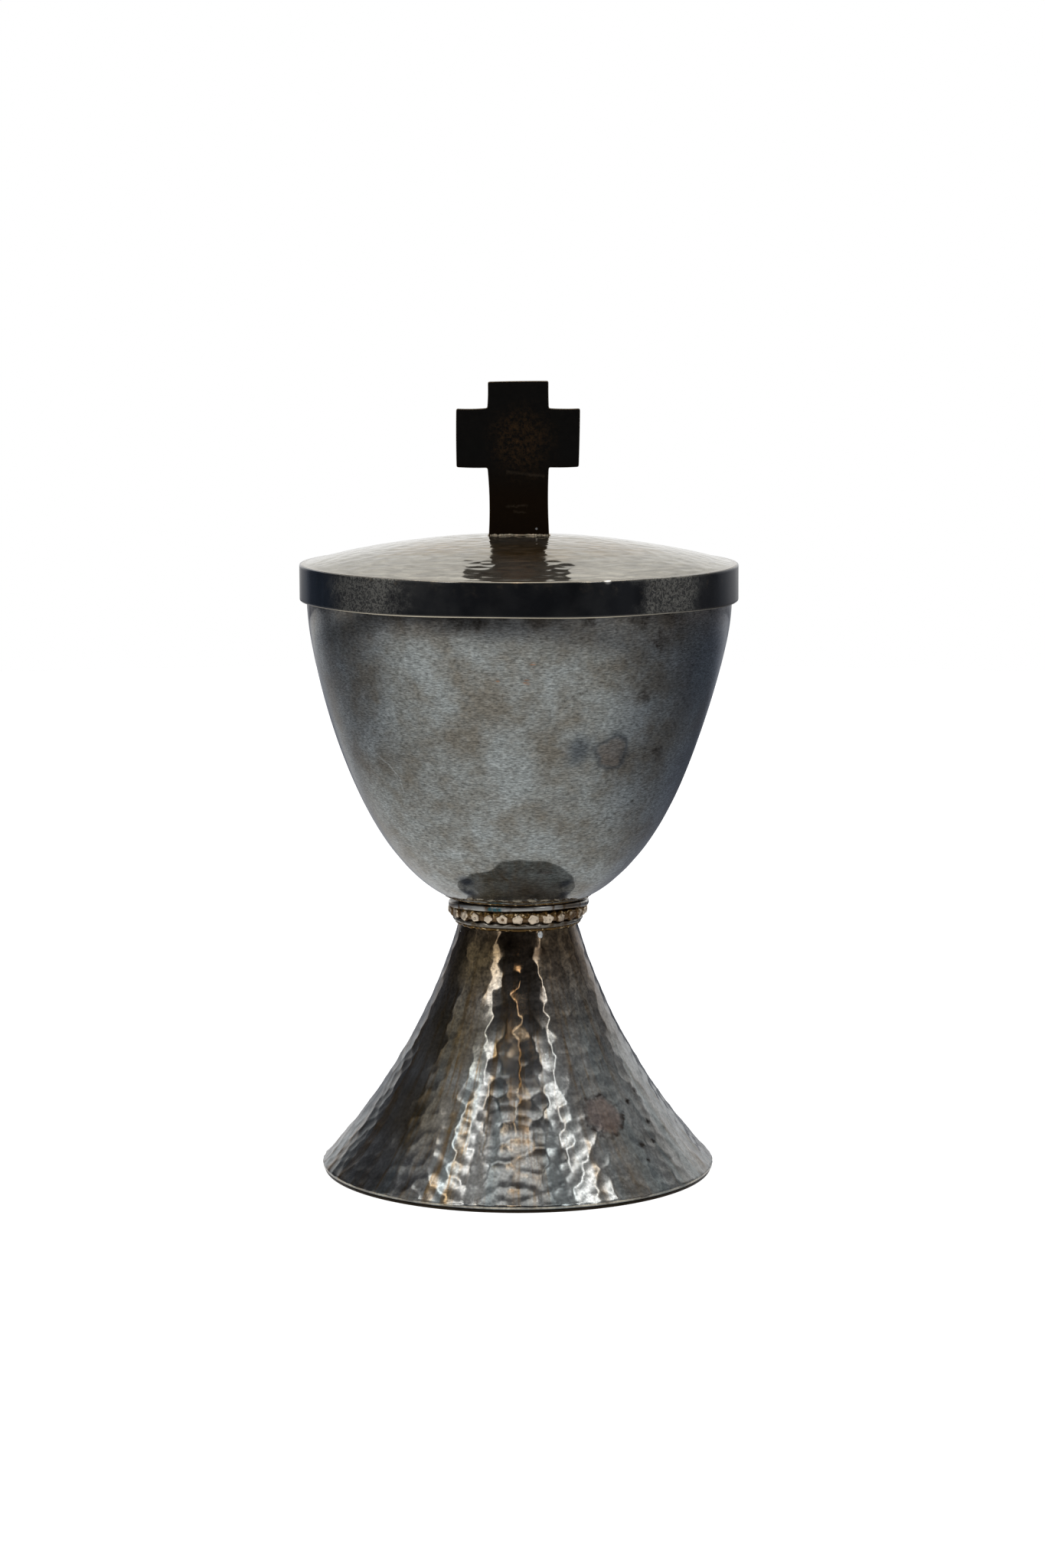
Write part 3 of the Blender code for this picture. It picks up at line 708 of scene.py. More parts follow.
# Grey tarnished silver plate: a dull mirror, mottled brown-grey and blue-grey, with level wipe lines, dark
# speckle, smears under the lid, two ringed stains and specks of copper where the plate is gone. A painted
# blue reflection lies on its right flank, painted shade below the lid and painted dark reflections low
# down, and below the solder line it is dark brown and rough.
BOWL_CLOUDS = (
    (-41.6, -31.2, 130.4, 15), (-45.9, -29.1, 141, 12), (-30.4, -33.1, 108.1, 9), (32.4, -42.9, 138.2, 13),
    (33.9, -31.6, 111.8, 11), (28.3, -26.1, 94.2, 10), (-6.8, -50.7, 127, 11), (7.5, -46.5, 113.9, 9),
)
BOWL_SMEARS = (
    (-15, -53.3, 152, 3.6), (-10.6, -54.4, 151.5, 4.5), (-4, -55.3, 152.4, 4), (4.6, -55.3, 152, 4.4),
    (9.5, -54.7, 152.5, 3.4), (17.8, -52.5, 151.5, 3.8), (30.4, -46.1, 150, 4.6), (35.5, -42, 144.5, 4.5),
    (31.6, -41.4, 130.7, 3.2), (35.5, -31.4, 114.8, 3.2),
)
# Painted reflection: blue on the bowl's right flank, where its edge mirrors a blue tone.
BOWL_PAINTED_BLUE_REFLECTION = ((54, -20, 138, 30), (46, -10, 108, 24))
BLUE_STAIN = ((15.6, -45.8, 117.7, 6),)
# Painted reflection: dark blue spots low on the bowl, at the corners of the foot's mirror image.
PAINTED_DARK_REFLECTION_SPOTS = (
    (-13, -25.6, 81.3, 3.4), (-12.4, -21.2, 77.2, 3.2), (12.4, -25.6, 80.6, 3), (11.8, -20.8, 76.9, 2.8),
)
RING_STAIN = (23.9, -41.7, 116.7)
COPPER_SPECKS = ((-4.9, -53.2, 136.1, 0.7), (2.3, -53.3, 135.6, 1.2), (3.8, -54.1, 140, 1.1))
DARK_STROKES = (
    ((-13.3, -40.5, 102.5), (-11.6, -40.9, 102.4), 0.18), ((34.2, -28.2, 106.6), (30.3, -30.8, 103.8), 0.8),
    ((30.3, -30.8, 103.8), (26.6, -32.5, 101.2), 0.7), ((26.6, -32.5, 101.2), (20.6, -34.2, 96.9), 0.6),
    ((13.1, -37.1, 95.9), (6.8, -36.9, 92.4), 0.6), ((17.3, -49.7, 132.9), (10, -51, 130.1), 0.7),
)
PALE_STROKES = (
    ((-38, -29.1, 116.2), (-33, -32.9, 112.5), 0.3), ((-33, -32.9, 112.5), (-30, -34.1, 109.3), 0.3),
    ((-30, -34.1, 109.3), (-29, -32.7, 105), 0.3), ((-17.5, -31.9, 90.5), (-14.5, -32.3, 89), 0.5),
)


def strokes(add, place, lines):
    """Mask of thin strokes, each from a start to an end with a half-width, in millimetres: 1 on the line
    and 0 from the half-width on, by the distance to the nearest point between start and end."""
    mask = 0.0
    for start, end, half_width in lines:
        along = (Vector(end) - Vector(start)) * MM
        away = add("VectorMath", (place, Vector(start) * MM), "SUBTRACT")
        share = add("VectorMath", (away, along / along.length_squared), "DOT_PRODUCT")
        share = add("MapRange", (share,))
        nearest = add("VectorMath", (along, share), "SCALE")
        distance = add("VectorMath", (away, nearest), "DISTANCE")
        near = add("MapRange", (distance, 0.0, half_width * MM, 1.0, 0.0))
        mask = add("Math", (near, mask), "MAXIMUM")
    return mask


bowl_metal, add, shader, place = new_metal("grey_tarnished_silver_plate")
mottle = add("TexNoise", (place, per_mm(13), 10.0, 0.66))
clouds = spots(add, shaken(add, place, 9.0, 7.0), BOWL_CLOUDS, 0.95)
clouded = add("Math", (clouds, -0.09, mottle), "MULTIPLY_ADD")
pale = add("MapRange", (clouded, 0.37, 0.61))
speckle = add("TexNoise", (place, per_mm(1.1), 5.0, 0.75))
speckle_mask = add("MapRange", (speckle, 0.53, 0.72, 0.0, 0.55))
smear = spots(add, shaken(add, place, 3.0, 3.6), BOWL_SMEARS, 0.9)
smear = add("MapRange", (speckle, 0.3, 0.6, 0.0, smear))
dark = strokes(add, shaken(add, place, 2.0, 1.4), DARK_STROKES)
dark = add("MapRange", (speckle, 0.42, 0.62, 0.0, dark))
stain_place = shaken(add, shaken(add, place, 4.0, 2.2), 1.2, 0.9)
stain_edge, stain_middle = ringed(add, stain_place, RING_STAIN, (6.3, 0.4), (4.6, 0.35))
# Dark brown and rough below the solder line, where the bowl meets the collar's plate.
dark_foot_mask = by_height(add, shaken(add, place, 3.0, 0.5), BOWL_SEAM_HEIGHT + 0.3, BOWL_SEAM_HEIGHT - 0.1)
wipe_place = add("VectorMath", (place, (per_mm(5), per_mm(5), per_mm(0.3))), "MULTIPLY")
wipe = add("TexNoise", (wipe_place, 1.0, 5.0))
copper = add("MapRange", (wipe, 0.5, 0.6, 0.0, spots(add, place, COPPER_SPECKS, 0.7)))
colour = stained(
    add, "#7a766d", (pale, "#979c9b"), (spots(add, place, BOWL_PAINTED_BLUE_REFLECTION, 0.8), "#5e6f83", 0.55),
    # Browner from 142 mm up to the mouth: painted shade under the lid's skirt.
    (by_height(add, place, 142, 153, 0.45), "#75644f"), (speckle_mask, "#4d4a43"), (smear, "#47413a"),
    (dark, "#423c34"), (strokes(add, shaken(add, place, 4.0, 0.6), PALE_STROKES), "#b9bdbc", 0.55),
    (spots(add, stain_place, BLUE_STAIN, 0.8), "#474e55", 0.75), (stain_edge, "#43474b", 0.9),
    (stain_middle, "#675b52", 0.6),
    (spots(add, shaken(add, place, 2.0, 0.8), PAINTED_DARK_REFLECTION_SPOTS, 0.8), "#2e353f", 0.9),
    (dark_foot_mask, "#3a3024"), (copper, "#9a7258"),
)
grit_place = add("VectorMath", (place, (per_mm(1.1), per_mm(1.1), per_mm(0.3))), "MULTIPLY")
grit = add("TexNoise", (grit_place, 1.0, 3.0))
for lines, darkest, lightest in ((wipe, 0.86, 1.14), (grit, 0.5, 1.5)):
    shade = add("MapRange", (lines, 0.3, 0.7, darkest, lightest))
    colour = add("VectorMath", (colour, shade), "SCALE")
roughness = add("MapRange", (mottle, 0.0, 1.0, 0.04, 0.11))
roughness = add("Math", (dark_foot_mask, 0.4, roughness), "MULTIPLY_ADD")
connect(shader, {  # a haze of tarnish lies on the metal, so it isn't wholly metallic
    "Base Color": colour, "Roughness": roughness, "Metallic": 0.84,
})

bowl_profile = np.vstack([bowl_side, lip, bowl_inside])
bowl_lift = np.pad(bowl_lift, ((0, len(lip) + len(bowl_inside)), (0, 0)))
bowl_grid = turned(bowl_profile, BOWL_COLUMNS, bowl_lift)
for centre, reach, height in PLANISH_SWELLINGS:
    near = np.exp(-((bowl_grid[:BOWL_ROWS] - centre) ** 2).sum(axis=-1) / (2 * reach**2))
    bowl_grid[:BOWL_ROWS, :, :2] *= 1 + height * near[..., None] / math.hypot(*centre[:2])
bowl_grid[..., 0] += BOWL_LEAN * smooth_step(bowl_grid[..., 2], *LEAN_HEIGHTS)
bowl_points, bowl_faces = poled(bowl_grid)
bowl = add_piece("raised_bowl", "cup", bowl_points, bowl_metal, bowl_faces)
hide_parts("cup_bowl")
bowl_seam = level_circle(bowl_curve(np.array([BOWL_SEAM_HEIGHT + BOWL_SAG])), BOWL_SEAM_HEIGHT)
solder_bead("bowl_solder", "cup", bowl_seam, BOWL_SOLDER, collar_random)

# Lid dome: a shallow disc of sheet, domed with a round-faced hammer and polished. The blows are wide
# and shallow, so that what it mirrors breaks into ripples.
DOME_RISE = 7.2
DOME_SHEET = 1.2
DOME_COLUMNS = 480
DOME_ROWS = 112
DOME_UNDER_ROWS = 26
DOME_BLOW_PITCH = 4.6
DOME_BLOW_DEPTH = 0.07
DOME_BLOW_STRETCH = 1.4  # the hammer's face left marks longer round the dome than across
DOME_WAVES = 0.05
DOME_WAVE_LENGTH = 25.0
DOME_RIDGES = (0.8, 1.4)
DOME_POLE_CALM = 3.0  # radius by which the blows begin, and radii over which they end
DOME_EDGE_CALM = (54.0, 56.0)
RIM_STAIN = 0.6
DOME_EDGE_INSET = 0.1
DOME_FLANGE = 1.0  # how far its edge reaches out over the skirt
FLANGE_SHEET = 0.3
FLANGE_RAISE = 0.02
LID_SETTLE = np.array([0.35, 0.0, -0.2])  # it sits to the right within its play
lid_random = np.random.default_rng(53)

dome_high = box_mm("lid_dome")[1]
dome_radius, crown_z = dome_high[0], dome_high[2]
dome_sphere = (dome_radius**2 + DOME_RISE**2) / (2 * DOME_RISE)


def dome_height(radius, depth=0.0):
    """Height of the dome's sphere at a radius and a depth below its top surface."""
    return crown_z - dome_sphere + np.sqrt((dome_sphere - depth) ** 2 - radius**2)


seat_z = dome_height(dome_radius)
under_radius = np.linspace(POLE_RADIUS, dome_radius - 1.5 * DOME_EDGE_INSET, DOME_UNDER_ROWS)
top_radius = np.linspace(dome_radius + DOME_FLANGE, POLE_RADIUS, DOME_ROWS)
dome_profile = np.vstack([
    np.column_stack([under_radius, dome_height(under_radius, DOME_SHEET)]),
    [[dome_radius - DOME_EDGE_INSET, seat_z - DOME_SHEET + DOME_EDGE_INSET]],
    [[dome_radius + DOME_FLANGE, seat_z - FLANGE_SHEET]],
    np.column_stack([top_radius, np.maximum(dome_height(top_radius), seat_z + FLANGE_RAISE)]),
])
dome_blows = hammer_blows(
    DOME_BLOW_STRETCH * top_radius[::-1], top_radius[::-1], DOME_COLUMNS, DOME_BLOW_PITCH, lid_random
)[::-1]
dome_lift = DOME_BLOW_DEPTH * (np.clip(dome_blows, 0.0, BLOW_MOST) - BLOW_MEAN)
dome_lift += DOME_WAVES * unevenness(top_radius, DOME_COLUMNS, DOME_WAVE_LENGTH, lid_random)
calm = smooth_step(top_radius, POLE_RADIUS, DOME_POLE_CALM) * (1 - smooth_step(top_radius, *DOME_EDGE_CALM))
below_top = ((len(dome_profile) - DOME_ROWS, 0), (0, 0))
dome_lift = np.pad(dome_lift * calm[:, None], below_top)
dome_ridges = np.pad(smooth_step(dome_blows, *DOME_RIDGES), below_top)
dome_rim = smooth_step(dome_profile[:, :1], dome_radius - RIM_STAIN, dome_radius)
dome_rim = np.broadcast_to(dome_rim, dome_lift.shape)

# Polished silver plate, yellowing: a grey mirror with a warm cast, golden-brown on either side of the cross
# where the cloth doesn't reach. A thin haze dims what it mirrors at a slant. Rings of tone round the crown
# are partly painted reflection, for the lines that the hammered ripples draw into what it mirrors.
GOLDEN_STAINS = ((-20, -16, 167, 26), (22, -14, 167, 27), (2, -28, 166, 24), (6, 24, 167, 24))
dome_metal, add, shader, place = new_metal("polished_hammered_silver_plate")
stains = add("TexNoise", (place, per_mm(5), 8.0, 0.7))
golden = spots(add, shaken(add, place, 9.0, 9.0), GOLDEN_STAINS, 1.0)
golden = add("Math", (golden, stains), "MULTIPLY")
stain_mask = add("MapRange", (golden, 0.12, 0.6, 0.0, 0.75))
film = add("MapRange", (stains, 0.35, 0.65))
ridges = add("Attribute", (), "ridge").node.outputs["Fac"]
ridge_mask = add("Math", (ridges, stain_mask), "MULTIPLY")
colour = stained(add, "#847f76", (film, "#979388"), (stain_mask, "#8a7148"), (ridge_mask, "#6b5b3e"))
level = add("VectorMath", (place, (1.0, 1.0, 0.0)), "MULTIPLY")
heading = add("VectorMath", (level,), "NORMALIZE")
radius = add("VectorMath", (level,), "LENGTH")
radius = add("Math", (radius, per_mm(1.5)), "MULTIPLY")
radius = add("CombineXYZ", {"Z": radius})
row_place = add("VectorMath", (heading, (7.0, 7.0, 0.0), radius), "MULTIPLY_ADD")
rows = add("TexNoise", (row_place, 1.0, 6.0, 0.65))
connect(rows.node, {"Distortion": 0.6})
# Rings of tone round the crown: partly tone, partly a painted reflection of the hammered ripples.
ring_tone_and_painted_reflection = add("MapRange", (rows, 0.35, 0.6, 0.6, 1.14))
colour = add("VectorMath", (colour, ring_tone_and_painted_reflection), "SCALE")
rim = add("Attribute", (), "rim").node.outputs["Fac"]
grit = add("TexNoise", (place, per_mm(2), 6.0))
connect(shader, {
    "Base Color": stained(add, colour, (rim, "#655741")), "Metallic": 0.88,
    "Roughness": add("MapRange", (grit, 0.0, 1.0, 0.05, 0.16)), "Specular Tint": linear("#eeede9"),
})

dome_points, dome_faces = poled(turned(dome_profile, DOME_COLUMNS, dome_lift))
dome = add_piece(
    "hammered_lid_dome", "lid", dome_points + LID_SETTLE, dome_metal, dome_faces,
    ridge=np.append(dome_ridges, [0.0, 0.0]), rim=np.append(dome_rim, [0.0, 0.0]),
)
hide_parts("lid_dome")

# Lid skirt: a strip bent into a hoop, its ends soldered in an upright seam, and soldered round the dome. It
# slips over the cup's mouth. Its edges are rubbed bright, the upper one more so at the front, where that is
# a painted highlight, and the rest is tarnished black.
SKIRT_ROUNDING = 0.3
SKIRT_COLUMNS = 480
SKIRT_INNER_RADIUS = 56.1
SKIRT_DROP = 0.25  # how much deeper it was cut, and how much more so at its sides
SKIRT_SIDE_DROP = 0.35
SKIRT_WAVES = 0.05
SKIRT_WAVE_LENGTH = 30.0
SKIRT_EDGE_WAVES = 0.07
EDGE_WAVE_REACH = 3.0
SEAM_ANGLE = math.radians(-59.8)
SEAM_WIDTH = 0.35
SEAM_DEPTH = 0.06
SEAM_SIDE = np.array([0.5, 0.2])  # depths in from the outside over which the seam sets in
LOW_EDGE_RUB = (0.12, 0.36)  # distances from the edge over which the pale edges fade
TOP_EDGE_FADE = (0.05, 0.3)
TOP_EDGE_WEAR_AND_HIGHLIGHT = (0.1, 0.6)  # all round, and how much more at the front, where the extra is a painted highlight
HIGHLIGHT_SPREAD = 0.45

skirt_low, skirt_high = box_mm("lid_skirt")
skirt_profile = rounded_band(
    SKIRT_INNER_RADIUS, skirt_high[0], skirt_low[2], skirt_high[2], SKIRT_ROUNDING, side_steps=24
)
skirt_along = skirt_profile[:, 1] - skirt_low[2]
skirt_up = skirt_along[:, None]
skirt_lift = SKIRT_WAVES * unevenness(skirt_along, SKIRT_COLUMNS, SKIRT_WAVE_LENGTH, lid_random)
column_angle = around(SKIRT_COLUMNS)
seam_reach = (np.angle(np.exp(1j * (column_angle - SEAM_ANGLE))) * skirt_high[0] / SEAM_WIDTH) ** 2
outer_side = smooth_step(skirt_profile[:, :1], *(skirt_high[0] - SEAM_SIDE))
skirt_lift -= SEAM_DEPTH * np.exp(-seam_reach) * outer_side
skirt_grid = turned(skirt_profile, SKIRT_COLUMNS, skirt_lift)
edge_wave = SKIRT_EDGE_WAVES * unevenness(np.zeros(1), SKIRT_COLUMNS, 1.0, lid_random, waves=24)
skirt_grid[..., 2] += edge_wave * (1 - smooth_step(skirt_up, 0.0, EDGE_WAVE_REACH))
skirt_drop = SKIRT_DROP + SKIRT_SIDE_DROP * np.sin(column_angle) ** 2
skirt_grid[..., 2] -= skirt_drop * (1 - skirt_up / skirt_along.max())
low_edge = 1 - smooth_step(skirt_up, *LOW_EDGE_RUB)
top_edge = 1 - smooth_step(skirt_high[2] - skirt_profile[:, 1:], *TOP_EDGE_FADE)
# At the front the upper edge is painted paler still: a painted highlight.
front = np.exp(-((np.angle(np.exp(1j * column_angle)) / HIGHLIGHT_SPREAD) ** 2))
skirt_wear_and_highlight = low_edge + top_edge * (TOP_EDGE_WEAR_AND_HIGHLIGHT[0] + TOP_EDGE_WEAR_AND_HIGHLIGHT[1] * front)

# Black tarnished silver plate: a dark mirror with patches of grey, worm-shaped where the tarnish broke up,
# brown nibbles along the upper edge, a dark seam, and a lower edge rubbed bright. Its two ends carry
# painted reflections: blue on the left and near black on the right.
SKIRT_PATCHES = ((-39.1, -41.9, 156, 25), (38, -42.9, 157, 21), (25, 51, 156, 20))
# Painted reflections at the two ends of the skirt: blue on the left, near black on the right.
PAINTED_BLUE_END = ((-52, -24, 156, 17),)
PAINTED_DARK_END = ((56, -16, 156, 21),)
SKIRT_GLINT = ((22.3, -52.8, 161, 1.3),)
skirt_metal, add, shader, place = new_metal("black_tarnished_silver_plate")
worm_noise = add("TexNoise", (place, per_mm(0.95), 3.0))
connect(worm_noise.node, {"Distortion": 0.8})
worm_side = add("Math", (worm_noise, 0.5), "SUBTRACT")
worm_width = add("Math", (worm_side,), "ABSOLUTE")
worms = add("MapRange", (worm_width, 0.01, 0.08, 1.0, 0.15))
clouds = add("TexNoise", (place, per_mm(9), 6.0, 0.6))
cloud_mask = add("MapRange", (clouds, 0.4, 0.7))
patch = spots(add, shaken(add, place, 5.0, 5.0), SKIRT_PATCHES, 0.9)
patch = add("Math", (patch, clouds), "MULTIPLY")
patch_mask = add("MapRange", (patch, 0.15, 0.5), "SMOOTHSTEP")
worm_mask = add("Math", (worms, patch_mask), "MULTIPLY")
smudges = add("TexNoise", (place, per_mm(3), 6.0, 0.7))
smudges = add("MapRange", (smudges, 0.55, 0.72, 0.0, by_height(add, place, 156.5, 161, 0.7)))
wear = add("Attribute", (), "wear").node.outputs["Fac"]
colour = stained(
    add, "#343537", (cloud_mask, "#494948"), (spots(add, place, PAINTED_BLUE_END, 0.9), "#505b69"),
    (spots(add, place, PAINTED_DARK_END, 0.7), "#23272d"), (worm_mask, "#939189"), (smudges, "#8a7d68"),
    (wear, "#d9cfba"), (spots(add, place, SKIRT_GLINT, 0.9), "#fffaf0"),
)
roughness = add("MapRange", (clouds, 0.0, 1.0, 0.08, 0.24))
roughness = add("Math", (patch_mask, 0.14, roughness), "MULTIPLY_ADD")
connect(shader, {
    "Base Color": colour, "Roughness": roughness, "Metallic": 0.86, "Specular Tint": linear("#d8d8da"),
})

skirt = add_piece("lid_skirt_band", "lid", skirt_grid + LID_SETTLE, skirt_metal, wear=skirt_wear_and_highlight)
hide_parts("lid_skirt")

# Cross: sawn from thick plate and filed by eye, so its sides bow a little and its corners are soft.
# Its foot follows the dome and is soldered to the crown.
CROSS_HALF_THICKNESS = 1.4
CROSS_RAISE = 0.35
CROSS_CORNER = 0.8  # length over which a corner is rounded
CROSS_BEVEL = 0.17
CROSS_FACE_INSET = 0.04
BEVEL_MARGIN = 0.01
CROSS_SHARP_ANGLE = math.radians(40)
CROSS_STEP = 0.08
CROSS_THINNING = 3  # of so many points of its outline, one is kept
CROSS_EDGE_WEAR_AND_HIGHLIGHT = 0.6
CROSS_FOOT_HEIGHT = 1.0  # what lies below follows the dome
CROSS_SIDES = (  # a corner, across and up from the crown, and how far the side to the next bows out
    (-7.55, -0.75, 0), (8.25, -0.75, -0.25), (8.1, 17.05, 0.1), (15.9, 17.2, 0.05), (16.2, 32.3, -0.12),
    (8.1, 32.35, -0.05), (8, 39.4, 0.06), (-7.75, 39.2, -0.1), (-7.9, 32.4, -0.15), (-15.95, 32.25, 0.08),
    (-15.9, 17.1, 0.1), (-7.85, 16.95, -0.35),
)
CROSS_SEAM_MIDDLE = 0.35
CROSS_SEAM_HALF = (7.75, 1.55)
CROSS_SEAM_SQUARENESS = 0.4  # the lower, the squarer
CROSS_SEAM_SINK = 0.05
CROSS_SOLDER = 0.32
cross_low = box_mm("cross_finial")[0]
sides = []
for (x0, z0, bow), (x1, z1, _) in zip(CROSS_SIDES, CROSS_SIDES[1:] + CROSS_SIDES[:1]):
    length = math.hypot(x1 - x0, z1 - z0)
    share = np.arange(0.0, 1.0, CROSS_STEP / length)
    bulge = bow * 4 * share * (1 - share) / length
    sides.append(np.column_stack([
        x0 + (x1 - x0) * share + (z1 - z0) * bulge, z0 + (z1 - z0) * share - (x1 - x0) * bulge
    ]))
outline = np.vstack(sides)
window = int(CROSS_CORNER / CROSS_STEP)
for _ in range(2):  # a running mean, twice, rounds the corners
    total = np.cumsum(np.vstack([outline[-window:], outline, outline[:window]]), axis=0)
    outline = (total[window:] - total[:-window])[window // 2:][:len(outline)] / window
outline = outline[::CROSS_THINNING]
foot_drop = np.where(outline[:, 1] < CROSS_FOOT_HEIGHT, dome_height(np.abs(outline[:, 0])) - crown_z, 0.0)
along_outline = np.roll(outline, -1, axis=0) - np.roll(outline, 1, axis=0)
along_outline /= np.linalg.norm(along_outline, axis=1)[:, None]
inward = np.column_stack([-along_outline[:, 1], along_outline[:, 0]])
turn = np.linspace(0.0, math.pi / 2, 4)
bevel_inset = np.concatenate([[CROSS_BEVEL + CROSS_FACE_INSET], CROSS_BEVEL * (1 - np.sin(turn))])
bevel_depth = np.concatenate([[0.0], CROSS_BEVEL * (1 - np.cos(turn))])
layer_inset = np.concatenate([bevel_inset, bevel_inset[::-1]])
layer_y = np.concatenate([bevel_depth - CROSS_HALF_THICKNESS, CROSS_HALF_THICKNESS - bevel_depth[::-1]])
edge_points = outline[None] + inward[None] * layer_inset[:, None, None]
cross_points = np.stack([
    edge_points[..., 0], np.broadcast_to(layer_y[:, None], edge_points.shape[:2]),
    cross_low[2] + CROSS_RAISE + edge_points[..., 1] + foot_drop,
], axis=-1)
layers, loop = cross_points.shape[:2]
cross_faces = np.array(wall_faces(layers, loop, closed=False))[:, ::-1].tolist()
cross_faces += [np.arange(loop).tolist(), (np.arange(loop)[::-1] + (layers - 1) * loop).tolist()]
on_bevel = (layer_inset > BEVEL_MARGIN) & (layer_inset < CROSS_BEVEL - BEVEL_MARGIN)
# The bevel is painted paler: partly wear, partly a painted highlight.
cross_wear_and_highlight = np.broadcast_to(CROSS_EDGE_WEAR_AND_HIGHLIGHT * on_bevel[:, None], (layers, loop))

# Brown-black tarnished silver plate: dull, with a brown bloom in the middle and a few rubbed streaks. Its
# bevelled edges are painted paler, partly wear and partly a painted highlight.
CROSS_BLOOM = ((0.8, -1.4, 193.5, 11), (1, 1.4, 190, 10))
CROSS_STROKES = (
    ((-2.8, -1.4, 175.7), (2.4, -1.4, 175.9), 0.5), ((-0.8, -1.4, 174.4), (2, -1.4, 174.2), 0.5),
    ((-2.6, -1.4, 184.7), (6.5, -1.4, 183.6), 0.6),
)
CROSS_DOT = ((4.9, -1.4, 169.9, 0.35),)
cross_metal, add, shader, place = new_metal("brown_black_tarnished_silver_plate")
bloom = add("TexNoise", (place, per_mm(1.0), 6.0, 0.75))
centre = spots(add, shaken(add, place, 3.0, 3.0), CROSS_BLOOM, 0.9)
bloom_mask = add("MapRange", (bloom, 0.42, 0.66, 0.0, centre))
scratches = strokes(add, shaken(add, place, 1.2, 0.7), CROSS_STROKES)
scratches = add("Math", (scratches, bloom), "MULTIPLY")
wear = add("Attribute", (), "wear").node.outputs["Fac"]
colour = stained(
    add, "#2d2b28", (by_height(add, place, 190, 176, course="SMOOTHSTEP"), "#34281c"),
    (bloom_mask, "#664d33"), (scratches, "#6b5d4b"), (spots(add, place, CROSS_DOT, 0.4), "#ffffff"),
    (wear, "#7a6c55"),
)
roughness = add("MapRange", (bloom, 0.0, 1.0, 0.22, 0.4))
connect(shader, {"Base Color": colour, "Roughness": roughness})

cross = add_piece("sawn_cross", "lid", cross_points, cross_metal, cross_faces, wear=cross_wear_and_highlight)
cross.data.set_sharp_from_angle(angle=CROSS_SHARP_ANGLE)
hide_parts("cross_finial")
angle = around(COLLAR_COLUMNS)
along_x = np.sign(np.sin(angle)) * np.abs(np.sin(angle)) ** CROSS_SEAM_SQUARENESS
along_y = -np.sign(np.cos(angle)) * np.abs(np.cos(angle)) ** CROSS_SEAM_SQUARENESS
seam_x, seam_y = CROSS_SEAM_MIDDLE + CROSS_SEAM_HALF[0] * along_x, CROSS_SEAM_HALF[1] * along_y
cross_seam = np.column_stack([seam_x, seam_y, dome_height(np.hypot(seam_x, seam_y)) - CROSS_SEAM_SINK])

# Scraped silver solder: cleaned of its flux, grey with a warm bright edge.
scraped_metal = new_solder("scraped_silver_solder", 1.2, 0.48, 0.66, ("#8b8372", "#dcc8ae"), 0.6, 0.35)
solder_bead("cross_solder", "lid", cross_seam, CROSS_SOLDER, lid_random, scraped_metal)

# Floor: a plain white table. The camera sees it white with the cup's soft shadow, and the metal
# mirrors pools of light on it.
FLOOR_RADIUS = 1.2
FLOOR_DIM = 0.1
FLOOR_GLOW = 0.93
FLOOR_GREY = (0.35, 0.35, 0.35, 1.0)
POOL_SOFTNESS = 0.95
FLOOR_LIGHT = (  # x, y, radius and brightness of each pool of light
    (-150, -150, 700, 0.33), (-70, -300, 450, 0.39), (-100, 100, 200, 0.31), (550, -500, 700, 0.28),
    (0, 0, 200, 0.31), (-300, 450, 300, 0.25), (-520, -300, 450, 0.3), (200, -200, 200, 0.15),
    (-150, 300, 300, 0.2), (0, -1000, 500, 0.12), (-480, 900, 550, 0.45), (480, 900, 550, 0.3),
    (-1050, 350, 420, 0.32), (1050, 350, 420, 0.12),
)
DIM_TINT = "#cfd9f2"  # what is dim is a little blue
bpy.ops.mesh.primitive_circle_add(vertices=96, radius=FLOOR_RADIUS, fill_type="NGON")
floor = bpy.context.object
floor.name = "floor"
floor_paint = bpy.data.materials.new("white_table")
floor_paint.use_nodes = True
tree = floor_paint.node_tree
tree.nodes.clear()
add = partial(add_node, tree)
place = add("TexCoord").node.outputs["Object"]
pool = FLOOR_DIM
for x, y, radius, brightness in FLOOR_LIGHT:
    lit = spots(add, place, ((x, y, 0.0, radius),), POOL_SOFTNESS)
    pool = add("Math", (lit, brightness, pool), "MULTIPLY_ADD")
tint = stained(add, DIM_TINT, (add("MapRange", (pool, 0.0, 0.6)), "#ffffff"))
mirrored = add("Emission", (tint, pool))
rays = add("LightPath").node.outputs
glow = add("Math", (rays["Is Camera Ray"], FLOOR_GLOW), "MULTIPLY")
glow = add("Emission", (linear("#ffffff"), glow))
matte = add("BsdfDiffuse", (FLOOR_GREY,))
table = add("AddShader", (glow, matte))
bounced = add("Math", (rays["Is Glossy Ray"], rays["Is Transmission Ray"]), "MAXIMUM")
table = add("MixShader", (bounced, table, mirrored))
connect(tree.nodes.new("ShaderNodeOutputMaterial"), {"Surface": table})
floor.data.materials.append(floor_paint)

